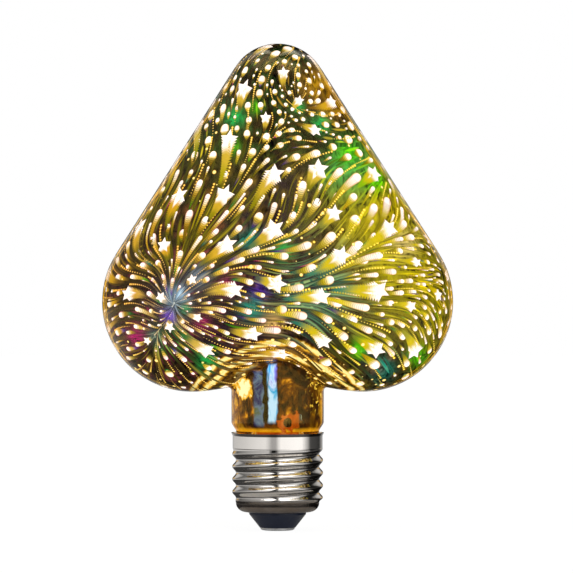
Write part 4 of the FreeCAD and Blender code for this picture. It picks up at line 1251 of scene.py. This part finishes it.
class LAMP_OT_coating(LampOperator):
    """Make the half mirror film inside the heart, with the haze of light round the comets"""

    bl_idname = "lamp.coating"
    bl_label = "Coating"

    def execute(self, context):
        pattern = MADE["pattern"]
        inset = pattern.glass.film_inset
        outer = self.rows(pattern, FILM_ROWS, inset)
        inner = self.rows(pattern, FILM_BACK_ROWS, inset + FILM_THICKNESS)
        points = np.concatenate([outer, inner])
        outside = grid_faces(FILM_ROWS, FILM_AROUND, True)
        inside = grid_faces(FILM_BACK_ROWS, FILM_AROUND, True, len(outer))[:, ::-1]
        ring = np.arange(FILM_AROUND)
        after = (ring + 1) % FILM_AROUND
        foot = np.stack([ring, len(outer) + ring, len(outer) + after, after], -1)
        faces = outside.tolist() + inside.tolist() + foot.tolist()
        faces.append((len(outer) - FILM_AROUND + ring).tolist())
        faces.append((len(points) - FILM_AROUND + ring[::-1]).tolist())
        picked = np.zeros(len(faces), int)
        picked[len(outside):len(outside) + len(inside)] = 1
        picked[-1] = 1
        colours = self.haze(points, len(outer))
        make_piece("coating", points, faces, [self.film(), self.mirror()], colours, picked)
        return {"FINISHED"}

    def rows(self, pattern, count, inset):
        turn = ring_turns(FILM_AROUND)
        shares = np.linspace(0, FILM_END, count)
        rings = [pattern.heart.at(turn, np.full(FILM_AROUND, share), inset) for share in shares]
        return np.concatenate(rings)

    def haze(self, points, outer_count):
        """Ground colours, with a soft glow round each head and along its tail."""
        colours = field_colours(points)[2]
        heads, radius, rows = MADE["comets"]
        tree = kdtree.KDTree(outer_count)
        for i in range(outer_count):
            tree.insert(points[i], i)
        tree.balance()
        middle, end, _ = field_colours(heads)
        near = hazed(heads, HAZE_REACH)[:, None]
        halo = middle * 0.3 * (1 - near) + colour_of("magenta") * 0.5 * near
        halo = graded(halo, ((100, 112, colour_of("emerald") * 0.25),), heads[:, 2:3])
        dabs = []
        for i in range(len(heads)):
            spread = radius[i] * 1.6 + 0.5
            dabs.append((rows[i, 1], halo[i], spread))
            dabs.append((rows[i, 8], end[i] * 0.25, spread * 1.2))
        for place, tint, reach in dabs:
            for _, index, gap in tree.find_range(Vector(place), reach * 2):
                colours[index] = np.maximum(colours[index], tint * math.exp(-((gap / reach) ** 2)))
        return colours

    def film(self):
        finish = Finish("half_mirror_film", specular_ior_level=0.0)
        clouds = finish.noise(95, 5.0, distortion=0.6)
        streaks = finish.noise(420, 5.0, (1.0, 1.0, 0.4), 1.6)
        shade = (clouds + streaks * 2.2 - 1.1).clamped()
        darks = ((0.0, (0.004, 0.003, 0.004)), (1.0, (0.03, 0.02, 0.016)))
        finish.give(base_color=finish.ramp(shade, darks))
        # Painted golden glow in ribbed lines along the fold over the neck
        x = finish.axis("X")
        over = finish.axis("Z") - FOLD_TOP + FOLD_BEND * x * x
        fold = (1 - abs(over).step(*FOLD_HALF)) * (1 - abs(x).step(*FOLD_WIDTH))
        bent = over * 1.9 + clouds * 9.0
        fold_glow_lines = bent.joined("SINE", bent) * 0.5 + 0.5
        fold_glow = finish.ramp(fold_glow_lines * 0.55 + streaks * 0.6, FOLD_GLOW_TONES)
        glow = finish.mixed(shade, BLACK, finish.vertex_colour("Light"))
        finish.give(emission_color=finish.mixed(fold, glow, fold_glow))
        finish.give(emission_strength=1.0, roughness=(0.3 + 0.2 * clouds).clamped())
        return finish

    def mirror(self):
        finish = Finish("film_back", metallic=1.0)
        finish.mottled(finish.noise(120), (0.55, 0.3, 0.08), (0.95, 0.7, 0.3), rough=(0.12, 0.2))
        return finish


class LAMP_OT_neck(LampOperator):
    """Make the amber film in the neck, worn away in front of the orange sleeve"""

    bl_idname = "lamp.neck"
    bl_label = "Neck film"

    def execute(self, context):
        pattern = MADE["pattern"]
        glass = pattern.glass
        turn = ring_turns(NECK_AROUND)
        first, fillet_centre, fillet_height, fillet = pattern.heart.start(turn, glass.film_inset)
        low = CAP_TOP.z / MM + NECK_START
        rows = []
        for share in np.linspace(0, 1, NECK_ROWS):
            up = low + (fillet_height - low) * share
            drawn_in = NECK_SQUEEZE * (1 - smooth_step(low, low + NECK_SQUEEZE_HEIGHT, up))
            rows.append((glass.neck_radius - glass.film_inset - drawn_in, up))
        for share in np.linspace(0, 1, NECK_BEND_ROWS)[1:]:
            bend = np.pi + first * share
            rows.append((fillet_centre + fillet * np.cos(bend), fillet_height + fillet * np.sin(bend)))
        rings = [np.stack([reach * np.cos(turn), reach * np.sin(turn), up], -1) for reach, up in rows]
        points = np.concatenate(rings)
        faces = grid_faces(len(rings), NECK_AROUND, True)
        kept = faces[~self.worn(points[faces].mean(axis=1))]
        make_piece("neck_film", points, kept, [self.amber()])
        return {"FINISHED"}

    def worn(self, middles):
        """Places where the film is missing, in front of the orange sleeve."""
        turn = np.arctan2(middles[:, 1], middles[:, 0])
        ragged = 0.14 * np.sin(turn * 31 + middles[:, 2] * 1.7) + 0.12 * np.sin(middles[:, 2] * 4.3)
        above = middles[:, 2] - WORN_HEIGHT - WORN_SLOPE * (turn - WORN_TURN)
        reach = np.hypot((turn - WORN_TURN) / WORN_HALF, above / WORN_HIGH)
        return reach + ragged < 1

    def amber(self):
        finish = Finish("amber_film", specular_ior_level=0.0)
        z = finish.axis("Z")
        turn = z.joined("ARCTAN2", finish.axis("Y"), finish.axis("X"))
        swirl = finish.noise(150, 5.0, (1, 1, 0.8), 2.6)
        grain = finish.noise(420, 3.0, (1, 1, 0.5), 1.0)
        tone = self.clouded(finish, turn, swirl, grain)
        tone = self.reflected_stripes(finish, tone, turn + 0.14 * (grain - 0.5), z, swirl)
        tone = self.lit(finish, tone, turn, z, swirl)
        finish.give(base_color=finish.mixed(0.8, tone, BLACK), emission_color=tone)
        finish.give(emission_strength=1.12, roughness=(0.12 + 0.2 * swirl).clamped())
        return finish

    def clouded(self, finish, turn, swirl, grain):
        """Dark amber clouds, with a painted golden rim light where the neck curves away at its sides."""
        tone = finish.ramp((swirl * 0.85 + grain * 0.35).clamped(), AMBER_TONES)
        edges = abs(turn.joined("COSINE", turn)).step(0.62, 0.95) * 0.55
        return finish.mixed(edges, tone, finish.ramp(grain, AMBER_RIM_LIGHT_TONES))

    def reflected_stripes(self, finish, tone, turn, z, swirl):
        """Painted reflections of a softbox as stripes up the neck: a grey one, a dark line of its frame and
        a pale blue one.
        """
        cool = finish.ramp(finish.noise(330, 4.0, (1, 1, 0.3), 0.8), COOL_REFLECTION_TONES)
        grey = finish.ramp(swirl, GREY_REFLECTION_TONES)
        stripes = (
            (-0.316, 0.12, 30.5, 46.0, grey),
            (-0.155, 0.06, 31.5, 47.0, NECK_REFLECTED_FRAME_LINE),
            (0.0, 0.098, 31.5, 48.0, cool),
        )
        for centre in REFLECTION_STRIPES:
            for offset, half, low, high, stripe in stripes:
                share = turn.band(centre + offset, half) * z.between(low, high, 0.7)
                tone = finish.mixed(share, tone, stripe)
        return tone

    def lit(self, finish, tone, turn, z, swirl):
        """A shaded side, a golden blob of light with a pale middle, glints and a golden foot."""
        shaded = turn.step(-1.3, -1.1) * (1 - turn.step(-0.5, -0.3)) * 0.6
        tone = finish.mixed(shaded, tone, NECK_SHADE)
        blob = ((turn + 2.42) * 4.2) ** 2 + ((z - 41.0) / 3.0) ** 2
        sparkle = finish.noise(900, 3.0, (1, 1, 0.7), 0.5)
        glow = (1.35 - 0.75 * blob - 2.2 * (sparkle - 0.42) - 1.6 * (swirl - 0.5)).clamped()
        tone = finish.mixed(glow.step(0.05, 0.5), tone, NECK_GOLD)
        tone = finish.mixed(glow.step(0.45, 0.95), tone, NECK_CREAM)
        side = turn.step(-1.0, -0.7) * (1 - turn.step(-0.35, -0.15))
        tone = finish.mixed(side * sparkle.step(0.58, 0.66) * z.step(32, 38), tone, NECK_GLINT)
        foot = z.between(26.0, 29.6, 0.6) * (0.25 + 0.9 * swirl).clamped()
        return finish.mixed(foot, tone, NECK_FOOT)


class LAMP_OT_glass(LampOperator):
    """Finish the blown glass envelope and the glass of the stem"""

    bl_idname = "lamp.glass"
    bl_label = "Glass"

    def execute(self, context):
        glass = Settings("lamp_glass")
        finish = Finish("blown_glass", transmission_weight=1.0, ior=1.44, roughness=0.0)
        finish.give(specular_tint=glass.shine)
        neck = (1 - finish.axis("Z").step(42, 48)) * (1 - finish.off_axis().step(14.0, 17.0))
        finish.give(base_color=finish.mixed(neck, glass.body_tint, glass.tint))
        finish.bump(finish.noise(40, 2.0), 0.06, 0.0006)
        finish.wear(["glass_envelope"])
        stem = Finish("stem_glass", transmission_weight=1.0, ior=1.5, roughness=0.02)
        stem.mottled(stem.noise(60, 2.0), (0.85, 0.93, 0.9), (0.97, 0.98, 0.97), stops=(0.0, 1.0))
        stem.bump(stem.noise(160, 3.0, (1, 1, 0.15)), 0.15, 0.0004)
        stem.wear(["glass_stem", "exhaust_tube", "support_post"])
        return {"FINISHED"}


class LAMP_OT_cap(LampOperator):
    """Finish the nickel shell, the insulator, the contact and the cement"""

    bl_idname = "lamp.cap"
    bl_label = "Cap"

    def execute(self, context):
        cap = Settings("lamp_cap")
        self.make_shell(cap)
        self.make_insulator(cap)
        contact = Finish("tinned_contact", metallic=1.0)
        pools = contact.noise(260)
        contact.mottled(pools, (0.7, 0.7, 0.7), (0.93, 0.93, 0.92), rough=(0.12, 0.22), bump=(0.3, 0.0003))
        contact.wear(["centre_contact"])
        cement = Finish("cap_cement", roughness=0.9)
        cement.mottled(cement.noise(1500, 5.0), (0.42, 0.37, 0.3), (0.68, 0.62, 0.52), bump=(0.5, 0.0003))
        cement.wear(["cap_cement"])
        return {"FINISHED"}

    def make_shell(self, cap):
        shell = Finish("nickel_plate", metallic=1.0)
        dull = 1 - shell.axis("Z").step(*SHOULDER_END)
        smudge = shell.noise(140, 4.0)
        drawn = shell.noise(900, 3.0, (1, 1, 0.08))
        clean = shell.mixed((smudge * 0.5).clamped(), cap.nickel, (0.68, 0.64, 0.6))
        shell.give(base_color=shell.mixed((dull * (0.6 + 0.4 * smudge)).clamped(), clean, cap.bare))
        shell.give(roughness=(0.04 + 0.07 * smudge + 0.05 * drawn + 0.16 * dull).clamped())
        shell.bump(drawn + 0.4 * smudge, 0.08, 0.0002)
        shell.wear(["cap_shell"])

    def make_insulator(self, cap):
        moulded = Finish("dark_insulator", coat_weight=0.15, coat_roughness=0.12)
        specks = moulded.noise(700)
        moulded.give(base_color=moulded.mixed((specks * 0.5).clamped(), cap.insulator, (0.014, 0.026, 0.06)))
        moulded.give(roughness=(0.24 + 0.2 * specks).clamped())
        moulded.bump(specks, 0.12, 0.0002)
        moulded.wear(["cap_insulator"])


class LAMP_OT_filaments(LampOperator):
    """Finish the filaments, wires, tabs and the orange sleeve"""

    bl_idname = "lamp.filaments"
    bl_label = "Filaments and wires"

    def execute(self, context):
        phosphor = Finish("phosphor", roughness=0.5)
        ripple = phosphor.noise(600, 2.0, (0.3, 0.3, 1.0))
        tones = (0.95, 0.62, 0.12), (1.0, 0.82, 0.35)
        lit = phosphor.mottled(ripple, *tones, bump=(0.3, 0.0002), stops=(0.35, 0.65))
        phosphor.give(emission_color=lit, emission_strength=1.6)
        phosphor.wear([f"led_filament_{i}" for i in range(1, 5)])
        wire = Finish("nickel_wire", metallic=1.0)
        drawn = wire.noise(1200, 3.0, (1, 1, 0.1))
        wire.mottled(drawn, (0.5, 0.49, 0.46), (0.76, 0.75, 0.72), rough=(0.22, 0.2), bump=(0.2, 0.0001))
        wire.wear(["filament_tabs", "upper_hooks", "lead_wire_live", "lead_wire_neutral"])
        wire.wear(["contact_wire", "shell_wire"])
        self.make_sleeve()
        return {"FINISHED"}

    def make_sleeve(self):
        sleeve = Finish("orange_sleeve", roughness=0.45)
        mottle = sleeve.noise(300, 4.0)
        orange = sleeve.ramp(mottle, ((0.3, (0.45, 0.06, 0.0)), (0.7, (0.9, 0.2, 0.01))))
        # Painted shade inside the sleeve's hole, and a painted orange glow on the sleeve, which is no lamp
        lit = sleeve.mixed(sleeve.off_axis().step(*SLEEVE_HOLE_SHADE), (0.01, 0.003, 0.0), orange)
        sleeve.give(base_color=lit, emission_color=lit, emission_strength=0.6)
        sleeve.bump(mottle, 0.3, 0.0003)
        sleeve.wear(["lead_sleeve"])


class LAMP_OT_driver(LampOperator):
    """Finish the driver board and the parts on it"""

    bl_idname = "lamp.driver"
    bl_label = "Driver"

    def execute(self, context):
        board = Finish("circuit_board", roughness=0.3, coat_weight=0.3)
        tracks = board.cell_edges(420).step(0.02, 0.06)
        board.give(base_color=board.mixed(tracks, (0.1, 0.36, 0.16), (0.02, 0.16, 0.06)))
        board.bump(1 - tracks, 0.4, 0.0001)
        board.wear(["driver_board"])
        epoxy = Finish("black_epoxy")
        grain = epoxy.noise(1800)
        tones = (0.012, 0.012, 0.013), (0.04, 0.04, 0.045)
        epoxy.mottled(grain, *tones, rough=(0.5, 0.25), bump=(0.3, 0.0001))
        epoxy.wear(["bridge_rectifier", "driver_chip", "chip_resistors"])
        can = Finish("capacitor_sleeve", roughness=0.25)
        top = can.axis("Z").step(18.1, 18.25)
        shrink = can.noise(500, 2.0, (1, 1, 0.3))
        dark = can.ramp(shrink, ((0.3, (0.008, 0.02, 0.06)), (0.7, (0.02, 0.045, 0.11))))
        can.give(base_color=can.mixed(top, dark, (0.7, 0.7, 0.7)), metallic=top)
        can.bump(shrink, 0.2, 0.0002)
        can.wear(["filter_capacitor"])
        lacquer = Finish("resistor_body", roughness=0.4)
        wave = lacquer.axis("X") * 2.6
        rings = wave.joined("SINE", wave).step(0.75, 0.85)
        lacquer.give(base_color=lacquer.mixed(rings, (0.5, 0.36, 0.2), (0.25, 0.08, 0.03)))
        lacquer.bump(lacquer.noise(500), 0.2, 0.0002)
        lacquer.wear(["fuse_resistor"])
        return {"FINISHED"}


class LAMP_OT_stage(LampOperator):
    """Set the floor, the softboxes, the white surround and the camera"""

    bl_idname = "lamp.stage"
    bl_label = "Stage"

    def execute(self, context):
        stage = Settings("lamp_stage")
        self.make_floor(stage)
        self.make_surround()
        self.make_tent()
        for name, turn, distance, size, setting in SOFTBOXES:
            self.make_softbox(name, math.radians(turn), distance, size, getattr(stage, setting))
        self.make_camera()
        context.scene.view_settings.view_transform = "Standard"
        return {"FINISHED"}

    def make_floor(self, stage):
        """A round floor that the camera sees as pure white, but for the lamp's shadow."""
        finish = Finish("floor", roughness=0.7)
        speck = finish.noise(30, 2.0)
        finish.give(base_color=finish.mixed((speck * 0.04).clamped(), stage.floor, (0.8, 0.8, 0.8)))
        glow = finish.node("ShaderNodeEmission", inputs={"Color": (1, 1, 1), "Strength": FLOOR_GLOW})
        seen = finish.ray("Is Camera Ray") * FLOOR_SEEN
        mix = {0: seen, 1: finish.shader.outputs[0], 2: glow.outputs[0]}
        both = finish.node("ShaderNodeMixShader", inputs=mix)
        finish.feed(finish.output.inputs["Surface"], both.outputs[0])
        turn = ring_turns(RING_CORNERS)
        points = FLOOR_RADIUS * np.stack([np.cos(turn), np.sin(turn), 0 * turn], -1)
        floor = linked("floor", mesh_of("floor", points, [list(range(RING_CORNERS))], [finish]))

    def make_surround(self):
        """A world that is white to look at, also in glass and metal, and gives little light."""
        world = bpy.data.worlds.new("surround")
        bpy.context.scene.world = world
        tree = Tree(world)
        seen = tree.ray("Is Camera Ray", "Is Glossy Ray", "Is Transmission Ray")
        strength = SURROUND_LIGHT + (1 - SURROUND_LIGHT) * seen
        light = tree.node("ShaderNodeBackground", inputs={"Color": (1, 1, 1), "Strength": strength})
        tree.node("ShaderNodeOutputWorld", inputs={"Surface": light.outputs[0]})

    def make_tent(self):
        """A round screen that only reflections show, with bright and dark bands round the lamp."""
        ring = np.stack([np.cos(ring_turns(RING_CORNERS)), np.sin(ring_turns(RING_CORNERS))], -1)
        corners = ((TENT_HOLE, 0), (TENT_RADIUS, 0), (TENT_RADIUS, TENT_HEIGHT), (TENT_HOLE, TENT_HEIGHT))
        rows = [np.insert(ring * reach, 2, TENT_LIFT + up, axis=1) for reach, up in corners]
        faces = grid_faces(len(rows), RING_CORNERS, True)
        tent = linked("tent", mesh_of("tent", np.concatenate(rows), faces, [self.tent_finish()]))
        for kind in ("camera", "diffuse", "transmission", "shadow"):
            setattr(tent, f"visible_{kind}", False)

    def tent_finish(self):
        finish = Finish("tent")
        x, y, z = (finish.axis(name) for name in "XYZ")
        turn = x.joined("ARCTAN2", x, 0 - y) / (2 * math.pi) + 0.5
        floor, upper = (
            finish.ramp(turn, [(0.5 + at / 360, (level, level, level)) for at, level in bands])
            for bands in (TENT_FLOOR, TENT_UPPER)
        )
        away = finish.off_axis().step(*TENT_FADE)
        above = z.step(*TENT_RISE)
        behind = abs(turn - 0.5).step(*TENT_GOLD_TURN) * (1 - z.step(*TENT_GOLD_HIGH)) * above
        share = (TENT_FOOT + (TENT_FAR - TENT_FOOT) * away) * (1 - above)
        share = share + above * (TENT_WALL + (1 - TENT_WALL) * z.step(*TENT_TOP))
        tint = finish.mixed(behind, (1, 1, 1), TENT_GOLD)
        bands = finish.mixed(share, BLACK, finish.mixed(above, floor, upper))
        toned = finish.mixed(1.0, bands, tint, "MULTIPLY")
        glow = finish.node("ShaderNodeEmission", inputs={"Color": toned, "Strength": TENT_GLOW})
        finish.feed(finish.output.inputs["Surface"], glow.outputs[0])
        return finish

    def make_softbox(self, name, turn, distance, size, watts):
        """A softbox that faces the lamp's middle, at a turn from the camera's side."""
        data = bpy.data.lights.new(name, "AREA")
        data.shape = "RECTANGLE"
        data.size, data.size_y = size
        data.energy = watts
        lamp = linked(name, data)
        lamp.visible_camera = False
        lamp.visible_glossy = False
        aim = Vector((0, 0, (CAD_BOX[0].z + CAD_BOX[1].z) / 2))
        lamp.location = (math.sin(turn) * distance, -math.cos(turn) * distance, SOFTBOX_HEIGHT)
        lamp.rotation_euler = (aim - lamp.location).to_track_quat("-Z", "Y").to_euler()

    def make_camera(self):
        data = bpy.data.cameras.new("camera")
        data.sensor_width = SENSOR_WIDTH
        data.lens = SENSOR_WIDTH * CAMERA_DISTANCE / VIEW_WIDTH
        camera = linked("camera", data)
        camera.location = (CAMERA_SIDE, -CAMERA_DISTANCE, CAMERA_HEIGHT)
        camera.rotation_euler = (math.radians(90), 0, 0)
        bpy.context.scene.camera = camera


class LAMP_PT_panel(bpy.types.Panel):
    """Lists the lamp's settings and the operators that make it"""

    bl_label = "Firework lamp"
    bl_space_type = "VIEW_3D"
    bl_region_type = "UI"
    bl_category = "Lamp"

    def draw(self, context):
        layout = self.layout
        for name in GROUPS:
            group = getattr(context.scene, name)
            for key in group.bl_rna.properties.keys():
                if key not in {"rna_type", "name"}:
                    layout.prop(group, key)
        for operator in OPERATORS:
            layout.operator(operator.bl_idname)


GROUPS = {
    "lamp_glass": GlassSettings,
    "lamp_streaks": StreakSettings,
    "lamp_cap": CapSettings,
    "lamp_stage": StageSettings,
}
OPERATORS = (
    LAMP_OT_comets,
    LAMP_OT_stars,
    LAMP_OT_strokes,
    LAMP_OT_beads,
    LAMP_OT_painted_rim,
    LAMP_OT_coating,
    LAMP_OT_neck,
    LAMP_OT_glass,
    LAMP_OT_cap,
    LAMP_OT_filaments,
    LAMP_OT_driver,
    LAMP_OT_stage,
)


def register():
    for name, group in GROUPS.items():
        bpy.utils.register_class(group)
        setattr(bpy.types.Scene, name, PointerProperty(type=group))
    for item in (*OPERATORS, LAMP_PT_panel):
        bpy.utils.register_class(item)


def unregister():
    for item in (LAMP_PT_panel, *reversed(OPERATORS)):
        bpy.utils.unregister_class(item)
    for name, group in GROUPS.items():
        delattr(bpy.types.Scene, name)
        bpy.utils.unregister_class(group)


def main():
    register()
    for operator in OPERATORS:
        area, name = operator.bl_idname.split(".")
        getattr(getattr(bpy.ops, area), name)()


if __name__ == "__main__":
    main()
